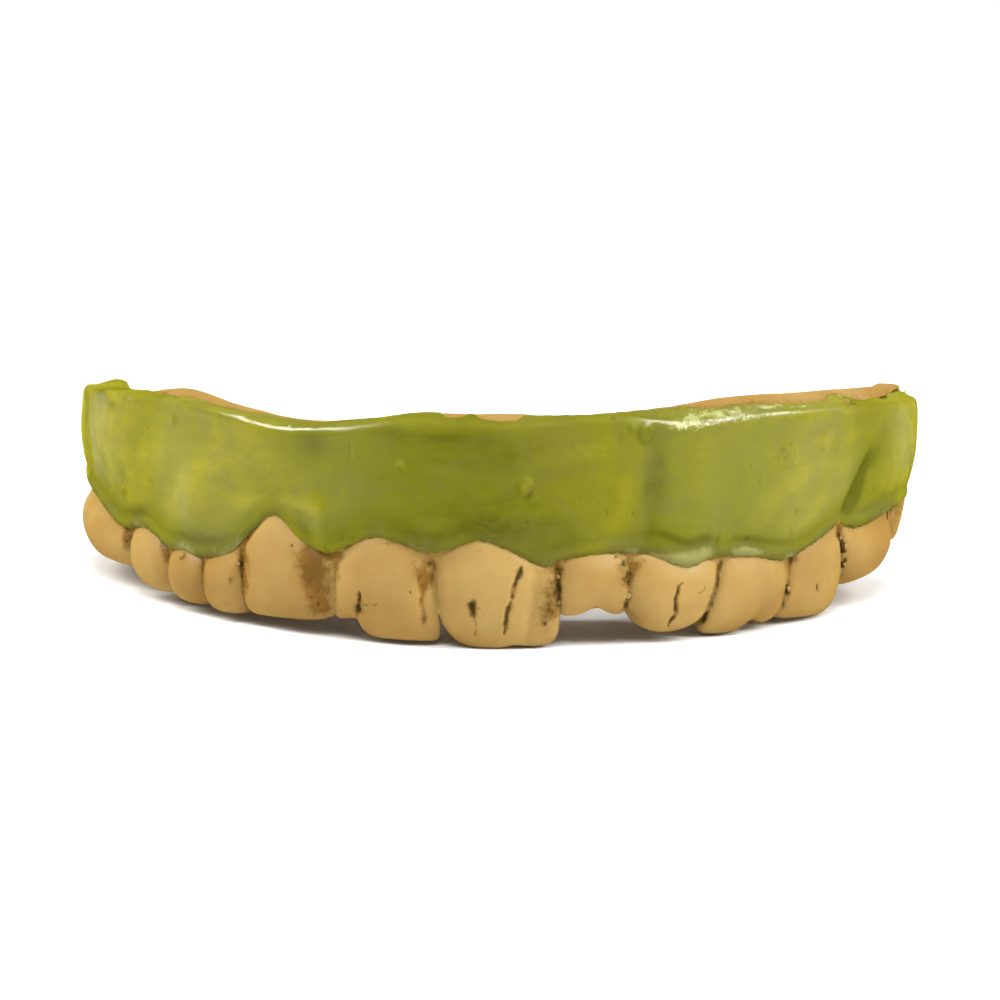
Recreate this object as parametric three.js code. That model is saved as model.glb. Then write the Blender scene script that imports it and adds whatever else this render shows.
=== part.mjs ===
// Upper set of zombie costume teeth: a tan fitting tray that bends round the dental arch,
// a crooked tooth for each place along it, and a thick green gum brushed over the front wall.
// Millimetres, +Z up, the wearer's face towards -Y. The teeth stand on their biting edges at Z = 0.

import * as THREE from "three";
import { LoftGeometry } from "three/addons/geometries/LoftGeometry.js";

// Driving sizes

const ARCH_HALF_WIDTH = 32; // outer face of the gum, at the widest place
const ARCH_DEPTH = 37; // half ellipse, from the front teeth to the widest place
const LEG_END = { right: -50, left: 53 }; // where the two legs stop, along the arch from the midline
const GAP = 0.3; // clearance between pieces that sit against each other

const TRAY = {
  face: 1.6, // front of the outer wall, inside the gum's outer face
  wall: 1.8, // thickness of the outer wall
  base: 3.9, // underside, above the biting edges
  floor: 5.5, // floor of the channel that the wearer's own teeth go into
  channelFront: 6.6, // width of the channel between the front walls
  channelBack: 8.4, // and between the walls of the two legs
  lip: 1.6, // thickness of the inner wall
  lipTop: 9.9, // height of the inner wall
  round: 0.5, // softened edges
};
const GUM = {
  back: TRAY.face - GAP, // inner face, just clear of the tray's wall
  margin: 0.62, // depth of the thin edge over the teeth
  collar: 0.3, // depth of the hollow above that edge
  shoulder: 0.45, // depth of the rounded top edge
};
// The legs are cut back towards their lower corner, and more so below the knee
const END_LEAN = { start: 40, slope: 0.46, knee: 7, curl: 0.23 };
// Behind the left molar the foot of the tray's wall comes out level with the gum
const HEEL = { start: 50.8, run: 0.8, depth: 0.1 };

const SECTIONS = { gum: 92, tray: 46 }; // cross sections along the arch
const RING_POINTS = 24; // points round a tooth

// Heights along the arch: top of the gum, rim of the tray, and the gum's lower edge

const RIM = [
  { along: -54, gum: 11.3, tray: 12.1 },
  { along: -50, gum: 12.1, tray: 12.7 },
  { along: -44, gum: 13.25, tray: 13.5 },
  { along: -38, gum: 13.95, tray: 13.95 },
  { along: -31, gum: 14.95, tray: 14.95 },
  { along: -25, gum: 15.45, tray: 15.95 },
  { along: -19, gum: 15.65, tray: 15.65 },
  { along: -12, gum: 15.35, tray: 15.35 },
  { along: -7, gum: 15.85, tray: 15.85 },
  { along: -2, gum: 16.65, tray: 16.65 },
  { along: 7, gum: 16.75, tray: 16.55 },
  { along: 13, gum: 16.95, tray: 16.65 },
  { along: 18, gum: 16.35, tray: 16.95 },
  { along: 24, gum: 16.45, tray: 17.25 },
  { along: 31, gum: 16.05, tray: 16.85 },
  { along: 38, gum: 15.35, tray: 16.25 },
  { along: 46, gum: 14.35, tray: 15.4 },
  { along: 54, gum: 14, tray: 14.3 },
];
const MARGIN = [
  { along: -54, height: 5.55 },
  { along: -38, height: 5.95 },
  { along: -31.5, height: 4.95 },
  { along: -29.2, height: 5.05 },
  { along: -26.8, height: 5.55 },
  { along: -23.4, height: 4.55 },
  { along: -21.8, height: 4.75 },
  { along: -19.8, height: 4.55 },
  { along: -17, height: 5.25 },
  { along: -15.1, height: 6.95 },
  { along: -12.8, height: 8.65 },
  { along: -10.4, height: 7 },
  { along: -8.2, height: 6.45 },
  { along: -4.7, height: 7.85 },
  { along: -0.4, height: 7.05 },
  { along: 2.8, height: 8 },
  { along: 5, height: 7.35 },
  { along: 7.5, height: 6.25 },
  { along: 9.1, height: 6.75 },
  { along: 14.9, height: 6.95 },
  { along: 18.6, height: 5.65 },
  { along: 20.6, height: 6.15 },
  { along: 24, height: 5.95 },
  { along: 27.9, height: 5.25 },
  { along: 31.4, height: 6.05 },
  { along: 34.2, height: 6.95 },
  { along: 37.4, height: 6.25 },
  { along: 44.7, height: 6.55 },
  { along: 54, height: 6.35 },
];

// Hollows (depth above 0) and swellings (below 0) of the gum, each turned by tilt in its own plane

const RELIEF = [
  { along: 38.4, height: 9.95, long: 3.6, wide: 0.85, tilt: 32, depth: 0.95 },
  { along: 43, height: 7.95, long: 2.2, wide: 1.8, tilt: 0, depth: -0.15 },
  { along: 33.2, height: 9.35, long: 3, wide: 1.6, tilt: 80, depth: -0.3 },
  { along: 15.8, height: 11.95, long: 3.4, wide: 1.2, tilt: 84, depth: 0.3 },
  { along: 19.6, height: 11.35, long: 3.6, wide: 1.5, tilt: 88, depth: -0.2 },
  { along: 18.2, height: 8.15, long: 2.4, wide: 0.5, tilt: 0, depth: 0.35 },
  { along: 18.3, height: 6.45, long: 1.9, wide: 0.6, tilt: 0, depth: -0.3 },
  { along: 25.2, height: 7.45, long: 2.4, wide: 0.5, tilt: 0, depth: 0.25 },
  { along: -9, height: 8.75, long: 2.4, wide: 0.8, tilt: -75, depth: -0.3 },
  { along: -21, height: 8.95, long: 2.6, wide: 1.3, tilt: 88, depth: -0.25 },
  { along: 51, height: 10, long: 6, wide: 5, tilt: 0, depth: -0.35 },
  { along: -46, height: 6.6, long: 8, wide: 1.5, tilt: 0, depth: 0.22 },
  { along: -33, height: 7.55, long: 2.8, wide: 0.9, tilt: -20, depth: 0.3 },
];

// Teeth

// One row for each ring from the biting edge to the gum: share of the crown's height and width,
// depth of the front face and of the sides, then height and depth of the back face
const INCISOR_RINGS = [
  { rise: 0, width: 0.76, front: 1.15, side: 1.55, backRise: 0, back: 2.0 },
  { rise: 0.03, width: 0.9, front: 0.72, side: 1.5, backRise: 0.12, back: 2.45 },
  { rise: 0.13, width: 0.98, front: 0.25, side: 1.35, backRise: 0.7, back: 2.9 },
  { rise: 0.3, width: 1, front: -0.08, side: 1.2, backRise: 1.7, back: 3.0 },
  { rise: 0.5, width: 1, front: -0.22, side: 1.1, backRise: 2.7, back: 2.4 },
  { rise: 0.72, width: 0.97, front: -0.12, side: 1.1, backRise: 3.3, back: 1.3 },
  { rise: 0.89, width: 0.92, front: 0.25, side: 1.1, backRise: 5.2, back: 1.3 },
  { rise: 1, width: 0.86, front: 0.68, side: 1.1, backRise: 6.2, back: 1.3 },
];
const PEG_RINGS = [
  { rise: 0, width: 0.4, front: 1.3, side: 1.7, backRise: 0, back: 2.3 },
  { rise: 0.03, width: 0.64, front: 0.85, side: 1.6, backRise: 0.1, back: 3.0 },
  { rise: 0.12, width: 0.84, front: 0.35, side: 1.4, backRise: 0.6, back: 3.7 },
  { rise: 0.28, width: 0.96, front: 0, side: 1.25, backRise: 1.5, back: 3.9 },
  { rise: 0.5, width: 1, front: -0.2, side: 1.15, backRise: 2.6, back: 3.4 },
  { rise: 0.72, width: 0.98, front: -0.1, side: 1.1, backRise: 3.3, back: 1.3 },
  { rise: 0.89, width: 0.93, front: 0.25, side: 1.1, backRise: 4.2, back: 1.3 },
  { rise: 1, width: 0.86, front: 0.68, side: 1.1, backRise: 5, back: 1.3 },
];
const MOLAR_RINGS = [
  { rise: 0, width: 0.56, front: 1.6, side: 2.6, backRise: 0, back: 4.4 },
  { rise: 0.05, width: 0.74, front: 1.0, side: 2.4, backRise: 0.1, back: 6.0 },
  { rise: 0.15, width: 0.93, front: 0.2, side: 2.1, backRise: 0.5, back: 7.4 },
  { rise: 0.3, width: 0.99, front: -0.25, side: 1.7, backRise: 1.4, back: 8.2 },
  { rise: 0.52, width: 1, front: -0.5, side: 1.35, backRise: 3.1, back: 8.0 },
  { rise: 0.74, width: 0.98, front: -0.3, side: 1.1, backRise: 3.3, back: 1.3 },
  { rise: 0.9, width: 0.94, front: 0.28, side: 1.1, backRise: 4.2, back: 1.3 },
  { rise: 1, width: 0.9, front: 0.68, side: 1.1, backRise: 5, back: 1.3 },
];

// Along the arch: where each crown starts and stops at its widest, how far its tip leans on either
// side, its biting edge as heights across the crown, and how low a molar's inner cusps reach
const TEETH = [
  {
    name: "tooth_right_molar",
    rings: MOLAR_RINGS,
    from: -43,
    to: -30.15,
    lean: [0.1, 0.1],
    heel: 0,
    edge: [
      { across: -1, height: 2.1 },
      { across: -0.5, height: 1.4 },
      { across: 0.1, height: 1.2 },
      { across: 1, height: 1.6 },
    ],
  },
  {
    name: "tooth_right_premolar_2",
    rings: PEG_RINGS,
    from: -29.85,
    to: -24.3,
    lean: [0.3, 0.3],
    edge: [
      { across: -1, height: 0.9 },
      { across: 0.3, height: 0.8 },
      { across: 1, height: 1 },
    ],
  },
  {
    name: "tooth_right_premolar_1",
    rings: PEG_RINGS,
    from: -24,
    to: -20.15,
    lean: [0.2, 0.2],
    edge: [
      { across: -1, height: 0.6 },
      { across: 0.2, height: 0.65 },
      { across: 1, height: 0.8 },
    ],
  },
  {
    name: "tooth_right_canine",
    rings: PEG_RINGS,
    from: -19.85,
    to: -16.2,
    lean: [0.2, 0.2],
    edge: [
      { across: -1, height: 0.5 },
      { across: 0, height: 0.55 },
      { across: 1, height: 0.7 },
    ],
  },
  {
    name: "tooth_right_lateral",
    rings: INCISOR_RINGS,
    from: -15.9,
    to: -8.05,
    lean: [0, 0],
    edge: [
      { across: -1, height: 0.8 },
      { across: 0, height: 1.0 },
      { across: 0.6, height: 1.2 },
      { across: 1, height: 1.7 },
    ],
  },
  {
    name: "tooth_right_central",
    rings: INCISOR_RINGS,
    from: -7.75,
    to: -0.45,
    lean: [-0.3, 0.5],
    edge: [
      { across: -1, height: 1.2 },
      { across: -0.53, height: 1.55 },
      { across: -0.4, height: 0.8 },
      { across: -0.2, height: 0.4 },
      { across: 0.3, height: 0.3 },
      { across: 1, height: 0.3 },
    ],
  },
  {
    name: "tooth_left_central",
    rings: INCISOR_RINGS,
    from: -0.15,
    to: 8.75,
    lean: [0.35, 0.1],
    edge: [
      { across: -1, height: 1.7 },
      { across: -0.75, height: 0.6 },
      { across: -0.5, height: 0.1 },
      { across: -0.25, height: 0 },
      { across: 0, height: 0 },
      { across: 0.25, height: 0.22 },
      { across: 0.6, height: 0.14 },
      { across: 1, height: 0.3 },
    ],
  },
  {
    name: "tooth_left_lateral",
    rings: INCISOR_RINGS,
    from: 9.05,
    to: 14.05,
    lean: [0, 0],
    edge: [
      { across: -1, height: 2.4 },
      { across: -0.5, height: 2.35 },
      { across: 0.1, height: 2.85 },
      { across: 0.6, height: 2.35 },
      { across: 1, height: 2.2 },
    ],
  },
  {
    name: "tooth_left_canine",
    rings: PEG_RINGS,
    from: 14.35,
    to: 21.75,
    lean: [-0.4, -1],
    edge: [
      { across: -1, height: 2.8 },
      { across: -0.7, height: 1.8 },
      { across: -0.4, height: 1.05 },
      { across: 0, height: 0.75 },
      { across: 0.5, height: 0.8 },
      { across: 1, height: 1.0 },
    ],
  },
  {
    name: "tooth_left_premolar_1",
    rings: PEG_RINGS,
    from: 22.4,
    to: 28.75,
    lean: [-2.3, -0.4],
    edge: [
      { across: -0.6, height: 0.2 },
      { across: -0.1, height: 0.2 },
      { across: 0.25, height: 0.85 },
      { across: 0.55, height: 0.35 },
      { across: 1, height: 0.4 },
    ],
  },
  {
    name: "tooth_left_premolar_2",
    rings: PEG_RINGS,
    from: 29.4,
    to: 35.6,
    lean: [-1.7, 0.6],
    edge: [
      { across: -1, height: 0.9 },
      { across: -0.5, height: 0.5 },
      { across: 0, height: 0.2 },
      { across: 0.5, height: 0.12 },
      { across: 1, height: 0.3 },
    ],
  },
  {
    name: "tooth_left_molar",
    rings: MOLAR_RINGS,
    from: 35.9,
    to: 45,
    lean: [0.1, 0.1],
    heel: 1.2,
    edge: [
      { across: -1, height: 1.7 },
      { across: 0, height: 1.6 },
      { across: 1, height: 2.3 },
    ],
  },
];

// Materials

const ACRYLIC = { color: 0xcba45f, roughness: 0.38, metalness: 0 };
const tanTray = new THREE.MeshStandardMaterial({ ...ACRYLIC, color: 0xc9a263 });
const tanTooth = new THREE.MeshStandardMaterial(ACRYLIC);
const greenGum = new THREE.MeshStandardMaterial({ color: 0x9b9838, roughness: 0.42, metalness: 0 });

// Helpers

const lerp = THREE.MathUtils.lerp;
const smoothstep = THREE.MathUtils.smoothstep;

// Value of a table's column at a place along its key, on a smooth curve through its rows
function readTable(rows, key, column, place) {
  const last = rows.length - 1;
  const x = THREE.MathUtils.clamp(place, rows[0][key], rows[last][key]);
  const i = Math.min(last - 1, Math.max(0, rows.findIndex((row) => row[key] > x) - 1));
  const start = x >= rows[last][key] ? last - 1 : i;
  const slope = (a, b) => (rows[b][column] - rows[a][column]) / (rows[b][key] - rows[a][key]);
  const slopeIn = slope(Math.max(0, start - 1), start + 1);
  const slopeOut = slope(start, Math.min(last, start + 2));
  const span = rows[start + 1][key] - rows[start][key];
  const t = (x - rows[start][key]) / span;
  const bend = t * (1 - t) * span;
  const straight = lerp(rows[start][column], rows[start + 1][column], t * t * (3 - 2 * t));
  return straight + bend * (slopeIn * (1 - t) - slopeOut * t);
}

const arch = new THREE.EllipseCurve(0, ARCH_DEPTH, ARCH_HALF_WIDTH, ARCH_DEPTH, Math.PI, 2 * Math.PI);
arch.arcLengthDivisions = 2000;
const ARCH_LENGTH = arch.getLength();

// A point of the arch's own chart: along the arch from the midline, in from the gum's face, and up
function onArch(along, inward, up) {
  const share = 0.5 + along / ARCH_LENGTH;
  const point = arch.getPointAt(share);
  const way = arch.getTangentAt(share);
  return new THREE.Vector3(point.x - way.y * inward, point.y + way.x * inward, up);
}

// Place along the arch of a point in a cross section, which leans forward towards a leg's end
function leaned(along, up) {
  const top = readTable(RIM, "along", "gum", along);
  const share = smoothstep(Math.abs(along), END_LEAN.start, LEG_END.left);
  const curl = END_LEAN.curl * Math.max(0, END_LEAN.knee - up) ** 2;
  return along - Math.sign(along) * share * (END_LEAN.slope * (top - up) + curl);
}

function sectionPlaces(count) {
  return Array.from({ length: count + 1 }, (_, i) => lerp(LEG_END.right, LEG_END.left, i / count));
}

// Lofts a closed profile of { inward, up } points along the whole arch
function sweepArch(count, profile) {
  const sections = sectionPlaces(count).map((along) =>
    profile(along).map(({ inward, up }) => onArch(leaned(along, up), inward, up)),
  );
  return new LoftGeometry(sections, { capStart: true, capEnd: true });
}

// Tray: an outer wall, a floor and a lower inner wall, open at the top

function trayProfile(along) {
  const rim = readTable(RIM, "along", "tray", along);
  const width = lerp(TRAY.channelFront, TRAY.channelBack, smoothstep(Math.abs(along), 6, 34));
  const { face, wall, base, floor, lip, lipTop, round } = TRAY;
  const mouth = face + wall;
  const inner = mouth + width;
  const back = inner + lip;
  const lipEdge = Math.min(lipTop, rim - 2);
  const underGum = readTable(MARGIN, "along", "height", along) - GAP;
  const ledge = Math.max(underGum, base + 3 * round);
  const foot = lerp(face, HEEL.depth, smoothstep(along, HEEL.start, HEEL.start + HEEL.run));
  return [
    { inward: foot + round, up: base },
    { inward: back - 2 * round, up: base },
    { inward: back, up: base + 2 * round },
    { inward: back, up: lipEdge - round },
    { inward: back - round, up: lipEdge },
    { inward: inner + round, up: lipEdge },
    { inward: inner, up: lipEdge - round },
    { inward: inner, up: floor + round },
    { inward: inner - round, up: floor },
    { inward: mouth + round, up: floor },
    { inward: mouth, up: floor + round },
    { inward: mouth, up: rim - round },
    { inward: mouth - round, up: rim },
    { inward: face + round, up: rim },
    { inward: face, up: rim - round },
    { inward: face, up: ledge },
    { inward: foot, up: ledge - round },
    { inward: foot, up: base + round },
  ];
}

// Gum: a thick coat on the front wall, scalloped round the teeth

function reliefAt(along, up) {
  return RELIEF.reduce((sum, bump) => {
    const turn = THREE.MathUtils.degToRad(bump.tilt);
    const x = along - bump.along;
    const y = up - bump.height;
    const lengthwise = (x * Math.cos(turn) + y * Math.sin(turn)) / bump.long;
    const crosswise = (y * Math.cos(turn) - x * Math.sin(turn)) / bump.wide;
    return sum + bump.depth * Math.exp(-lengthwise * lengthwise - crosswise * crosswise);
  }, 0);
}

// Rows of the gum's outer face from its lower edge to its top: share of the height, and depth
const GUM_FACE = [
  { rise: 0, depth: GUM.margin },
  { rise: 0.06, depth: GUM.collar + 0.05 },
  { rise: 0.16, depth: GUM.collar },
  { rise: 0.3, depth: 0.14 },
  { rise: 0.46, depth: 0.03 },
  { rise: 0.62, depth: 0 },
  { rise: 0.78, depth: 0.04 },
  { rise: 0.9, depth: 0.1 },
  { rise: 0.97, depth: 0.22 },
  { rise: 1, depth: GUM.shoulder },
];

function gumProfile(along) {
  const top = readTable(RIM, "along", "gum", along);
  const margin = readTable(MARGIN, "along", "height", along);
  const face = GUM_FACE.map(({ rise, depth }) => {
    const up = lerp(margin, top, rise);
    const shaped = depth + reliefAt(along, up);
    return { inward: Math.min(shaped, GUM.back - 0.35), up };
  });
  const inside = [0.05, 0.5, 1].map((rise) => ({ inward: GUM.back, up: lerp(margin, top, rise) }));
  return [...inside, ...face.reverse()];
}

// Teeth: rings of rounded outline, each blended from its front height to its back height

// A ring drawn in to its middle, which closes the end of a crown
function drawnIn(ring) {
  const middle = ring.reduce((sum, point) => sum.add(point), new THREE.Vector3());
  middle.divideScalar(ring.length);
  return ring.map(() => middle);
}

function toothGeometry({ rings, from, to, lean, heel, edge }) {
  const middle = (from + to) / 2;
  const half = (to - from) / 2;
  const squareness = 2 / 2.9;
  const sections = rings.map((ring) => {
    const points = [];
    for (let i = 0; i < RING_POINTS; i++) {
      const angle = (2 * Math.PI * i) / RING_POINTS;
      const across = Math.sign(Math.cos(angle)) * Math.abs(Math.cos(angle)) ** squareness;
      const depth = Math.sign(Math.sin(angle)) * Math.abs(Math.sin(angle)) ** squareness;
      const inward = lerp(ring.side, depth < 0 ? ring.front : ring.back, Math.abs(depth));
      const sway = lerp(lean[0], lean[1], (across + 1) / 2) * (1 - ring.rise) ** 2;
      const along = middle + across * half * ring.width + sway;
      const gumUp = readTable(MARGIN, "along", "height", along) - GAP;
      const tip = readTable(edge, "across", "height", across * ring.width);
      const frontUp = lerp(tip, gumUp, ring.rise);
      const inner = heel ?? tip;
      const ceiling = ring.back > GUM.back ? TRAY.base - GAP : gumUp;
      const climb = inner + ring.backRise * (1 - inner / TRAY.base);
      const backUp = ring.rise === 1 ? gumUp : Math.min(climb, ceiling);
      points.push(onArch(along, inward, lerp(frontUp, backUp, smoothstep(depth, -0.4, 0.45))));
    }
    return points;
  });
  return new LoftGeometry([drawnIn(sections[0]), ...sections, drawnIn(sections.at(-1))]);
}

// Assembly

function namedMesh(name, geometry, material) {
  const mesh = new THREE.Mesh(geometry, material);
  mesh.name = name;
  return mesh;
}

const set = new THREE.Group();
set.add(namedMesh("tray", sweepArch(SECTIONS.tray, trayProfile), tanTray));
set.add(namedMesh("gum", sweepArch(SECTIONS.gum, gumProfile), greenGum));
TEETH.forEach((tooth) => set.add(namedMesh(tooth.name, toothGeometry(tooth), tanTooth)));

// The origin is the middle of the footprint, on the plane that the biting edges stand on
const box = new THREE.Box3().setFromObject(set);
const middle = box.getCenter(new THREE.Vector3());
set.position.set(-middle.x, -middle.y, -box.min.z);

const part = new THREE.Group();
part.add(set);
export default part;
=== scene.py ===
import math

import bmesh
import bpy
import numpy as np
from mathutils import Matrix, Vector, noise


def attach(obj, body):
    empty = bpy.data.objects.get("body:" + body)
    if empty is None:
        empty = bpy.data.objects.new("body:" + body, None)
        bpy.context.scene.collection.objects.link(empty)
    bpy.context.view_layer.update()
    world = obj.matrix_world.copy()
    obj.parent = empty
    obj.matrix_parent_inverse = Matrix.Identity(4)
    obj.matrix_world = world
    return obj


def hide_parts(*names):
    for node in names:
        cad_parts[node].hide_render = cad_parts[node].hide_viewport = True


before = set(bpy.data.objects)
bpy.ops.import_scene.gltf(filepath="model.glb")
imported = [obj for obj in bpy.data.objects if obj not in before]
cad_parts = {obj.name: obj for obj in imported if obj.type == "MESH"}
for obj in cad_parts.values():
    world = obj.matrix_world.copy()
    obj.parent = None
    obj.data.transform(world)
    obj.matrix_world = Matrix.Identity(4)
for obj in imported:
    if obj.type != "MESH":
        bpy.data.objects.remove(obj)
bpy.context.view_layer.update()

bl_info = {
    "name": "Zombie costume teeth",
    "version": (1, 0, 0),
    "blender": (4, 5, 0),
    "location": "View3D > Sidebar > Costume teeth",
    "description": "Builds an upper set of crooked, stained costume teeth under a brushed green gum",
    "category": "Add Mesh",
}

# Tables are in millimetres, in the arch's own chart: along the arch from the midline (positive
# towards image right), inward from the gum's outer face, and up from the biting edges.

MM = 0.001
CHART_ORIGIN = (-0.265, -17.964, 0.0)
# Half width and depth of the arch, and the steps that it is measured in
ARCH = (32.0, 37.0)
ARCH_STEPS = 4001
# Azimuth and elevation in degrees of the view that the tables were read from, and the least slant it allows
VIEW = (6.43, 11.0)
GRAZE = 0.35
# Ends of the legs: how they lean, and how they are rounded
LEG_END = (-50.0, 53.0)
END_LEAN = {"start": 40.0, "slope": 0.46, "knee": 7.0, "curl": 0.23}
END_ROUND = 0.45
END_STEPS = (0.03, 0.1, 0.22, 0.4, 0.62)
# Cross sections along each piece, and points round one of the gum
SECTIONS = {"tray": 420, "gum": 820}
GUM_POINTS = {"under": 8, "face": 67, "round": 9, "over": 19, "home": 11}
# Depths of the gum's back, the wall's face behind it, and the wall's inner edge at the rim
GUM_BACK = 1.3
WALL_FACE = GUM_BACK + 0.04
WALL_LEAN = 0.3
MOUTH = 3.44
# Rounding of the rim's inner edge, and how the rim climbs from the gum's edge to it
RIM_EDGE = {"start": 2.75, "radius": 0.7}
RIM_CLIMB = {"start": 0.4, "end": 2.7, "leg_end": 1.7, "leg_from": (42, 50)}
# Ragged edge of the green over the rim
COAT_EDGE = {"ragged": 0.4, "wave": 2.2, "level_from": (50, 46), "least": 0.95}
# Tray: how much it falls short of the gum, underside, channel, inner wall, and web at the legs' ends
TRAY_SHORT = 0.05
TRAY_BASE = 3.9
CHANNEL_WIDTH = (6.6, 8.4)
CHANNEL_WIDENS = (6, 34)
LIP_DROP = 2
HEEL_WEB = 0.12
HEEL_FROM = (50.8, 51.6)
END_SET_BACK = 1.4
END_FROM = (-40.5, -42.5)
# Blisters: height over width, and the radius above which they are steep; width of the ring marks
BLISTER_TALL = 1.2
BLISTER_STEEP = 0.5
RING_WIDTH = 0.13
# Crowns: points round and up, power of their rounded square, depth for spacing, reach past their place
CROWN_MESH = (176, 100)
CROWN_SQUARE = 2 / 2.35
CROWN_DEPTH = 1.5
CROWN_OVERLAP = 0.25
TOOTH_FIELDS = ("stain", "grime", "crack", "shade")
# How far the brown spreads past the dark of a stain, along and up
WASH_SPREAD = (1.4, 1.3)

# Along, top of the gum, rim of the tray
RIM = (
    (-54, 11.3, 12.1), (-50, 12.1, 12.7), (-44, 13.25, 13.4), (-38, 13.95, 13.95), (-31, 14.95, 14.95),
    (-25, 15.45, 15.95), (-19, 15.65, 15.65), (-12, 15.35, 15.35), (-7, 15.85, 15.85),
    (-2, 16.6, 16.65), (1.5, 16.5, 16.7), (4, 16.4, 16.75), (7, 16.55, 16.7), (13, 16.9, 16.7),
    (18, 16.35, 16.95), (24, 16.45, 17.25), (31, 16.05, 16.85), (38, 15.35, 16.25), (46, 14.3, 15.3),
    (54, 13.6, 14.3),
)
# Along, lower edge of the gum, as they show on the gum's face
SEEN_MARGIN = (
    (-54, 5.55), (-38, 5.95), (-31.5, 4.95), (-29.2, 5.05), (-26.8, 5.55), (-23.4, 4.55), (-21.8, 4.75),
    (-19.8, 4.55), (-17, 5.25), (-15.1, 6.95), (-12.8, 8.65), (-10.4, 7.0), (-8.2, 6.45), (-4.7, 7.85),
    (-0.4, 7.05), (2.8, 8.0), (5, 7.35), (7.5, 6.25), (9.1, 6.75), (14.9, 6.95), (18.6, 5.65),
    (20.6, 6.15), (24, 5.95), (27.9, 5.25), (31.4, 6.05), (34.2, 6.95), (37.4, 6.25), (44.7, 6.55),
    (54, 6.35),
)
MARGIN_DEPTH = 0.42
# Along, foot of the casting between the crowns
WEB_FOOT = (
    (-54, 3.8), (-43, 3.8), (-41, 3.2), (-30, 2.3), (-16, 2.2), (-8, 2.4), (0, 2.3), (8, 2.4),
    (9.2, 3.3), (13.8, 3.3), (14.6, 2.6), (21, 1.9), (28.8, 2.0), (36, 2.6), (44, 3.2), (46, 3.8),
    (54, 3.8),
)
# Along, how far the green coat reaches in over the rim
COVER = (
    (-54, 5.4), (-40, 5.2), (-36, 4.2), (-33, 3.0), (-29, 1.9), (-25.5, 1.3), (-21, 1.3), (-17.6, 1.7),
    (-16, 2.2), (-12, 2.3), (-9, 2.6), (-5, 3.3), (-3, 3.4), (-0.6, 3.2), (0.1, 1.6), (1.2, 1.6),
    (1.9, 3.0), (2.7, 1.7), (5.4, 1.6), (6.3, 2.9), (12, 3.2), (16, 2.6), (18.5, 2.2), (21, 1.7),
    (25, 1.7), (29, 1.3), (33, 1.5), (37.5, 1.7), (39.5, 1.3), (43, 1.2), (50, 1.1), (54, 0.9),
)
# Along, thickness of the rolled lip, depth of the valley above it, height of the lip
LIPS = (
    (-54, 0.03, 0.06, 0.45), (-38, 0.05, 0.1, 0.45), (-34, 0.06, 0.14, 0.45), (-32, 0.08, 0.16, 0.4),
    (-30.4, 0.2, 0.24, 0.4), (-28, 0.2, 0.2, 0.4), (-26.4, 0.1, 0.1, 0.4), (-24.4, 0.06, 0.06, 0.4),
    (-23, 0.14, 0.12, 0.4), (-20.9, 0.14, 0.14, 0.4), (-18.6, 0.1, 0.1, 0.4), (-16.8, 0.04, 0.04, 0.4),
    (-12, 0.0, 0.0, 0.4), (-8, 0.0, 0.04, 0.4), (0, 0.03, 0.03, 0.4), (7, 0.02, 0.0, 0.4),
    (9, 0.06, 0.04, 0.4), (13, 0.06, 0.05, 0.4), (15.6, 0.1, 0.14, 0.5), (17.0, 0.2, 0.36, 0.62),
    (19.8, 0.22, 0.36, 0.62), (20.9, 0.12, 0.18, 0.5), (21.8, 0.05, 0.06, 0.45),
    (22.9, 0.13, 0.2, 0.45), (25.9, 0.16, 0.3, 0.45), (28.0, 0.12, 0.24, 0.45), (29.3, 0.08, 0.1, 0.4),
    (33.5, 0.06, 0.06, 0.4), (35.6, 0.08, 0.08, 0.4), (40, 0.1, 0.08, 0.45), (44, 0.1, 0.06, 0.45),
    (54, 0.06, 0.03, 0.45),
)
# Along, radius of the gum's top edge
SHOULDER = (
    (-54, 0.5), (-20, 0.5), (-15, 0.8), (-9, 0.8), (-5, 0.55), (15, 0.5), (19, 0.75), (36, 0.75),
    (41, 0.5), (54, 0.5),
)
# Along, how dull the green is
DULL = (
    (-54, 0.2), (-41, 0.3), (-36, 0.5), (-31, 0.85), (-27, 1.0), (-22, 0.3), (-10, 0.1), (-6, 0.6),
    (-3, 1.1), (13, 1.1), (16, 0.5), (19, 0.2), (30, 0.3), (35, 0.7), (38, 1.1), (42, 1.0), (46, 0.6),
    (54, 0.4),
)
# Pale crust of thick paint along the rim, partly painted highlights: along, up, long, wide, tilt, amount
CRUST_AND_HIGHLIGHTS = (
    (18.2, 16.1, 2.6, 0.5, 4, 1.0), (22.5, 16.5, 3.0, 0.35, 0, 0.9), (27, 16.5, 2.4, 0.3, -4, 0.8),
    (-30, 14.6, 3.2, 0.35, 9, 0.7), (36.5, 16.0, 1.4, 0.4, 0, 0.8),
)
# Greyer clouds of the green: along, up, long, wide, tilt, amount
GREY = (
    (7.5, 8.8, 3.4, 1.3, 0, 0.5), (-9.5, 14.2, 2.0, 1.3, 0, 0.4), (-31, 6.6, 2.2, 0.9, -25, 0.4),
    (-19.5, 5.8, 3.4, 0.9, 6, 0.4), (22.5, 8.4, 2.4, 0.9, 0, 0.35), (39.5, 7.2, 3.0, 0.7, 6, 0.4),
)
# Pale paint on the rolled lips: along, up, long, wide, tilt, amount
PALE_LIPS = (
    (18.3, 6.45, 1.9, 0.75, 0, 0.85), (24.6, 6.25, 2.6, 0.4, -6, 0.55), (-28.4, 5.3, 1.0, 0.35, 0, 0.3),
    (-21.5, 4.7, 1.8, 0.25, 0, 0.25),
)
# Share of the gum's height, depth of its face
GUM_FACE = (
    (0, 0.5), (0.03, 0.37), (0.08, 0.31), (0.16, 0.28), (0.3, 0.14), (0.46, 0.03), (0.62, 0.0),
    (0.78, 0.04), (0.9, 0.1), (1, 0.16),
)
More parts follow.
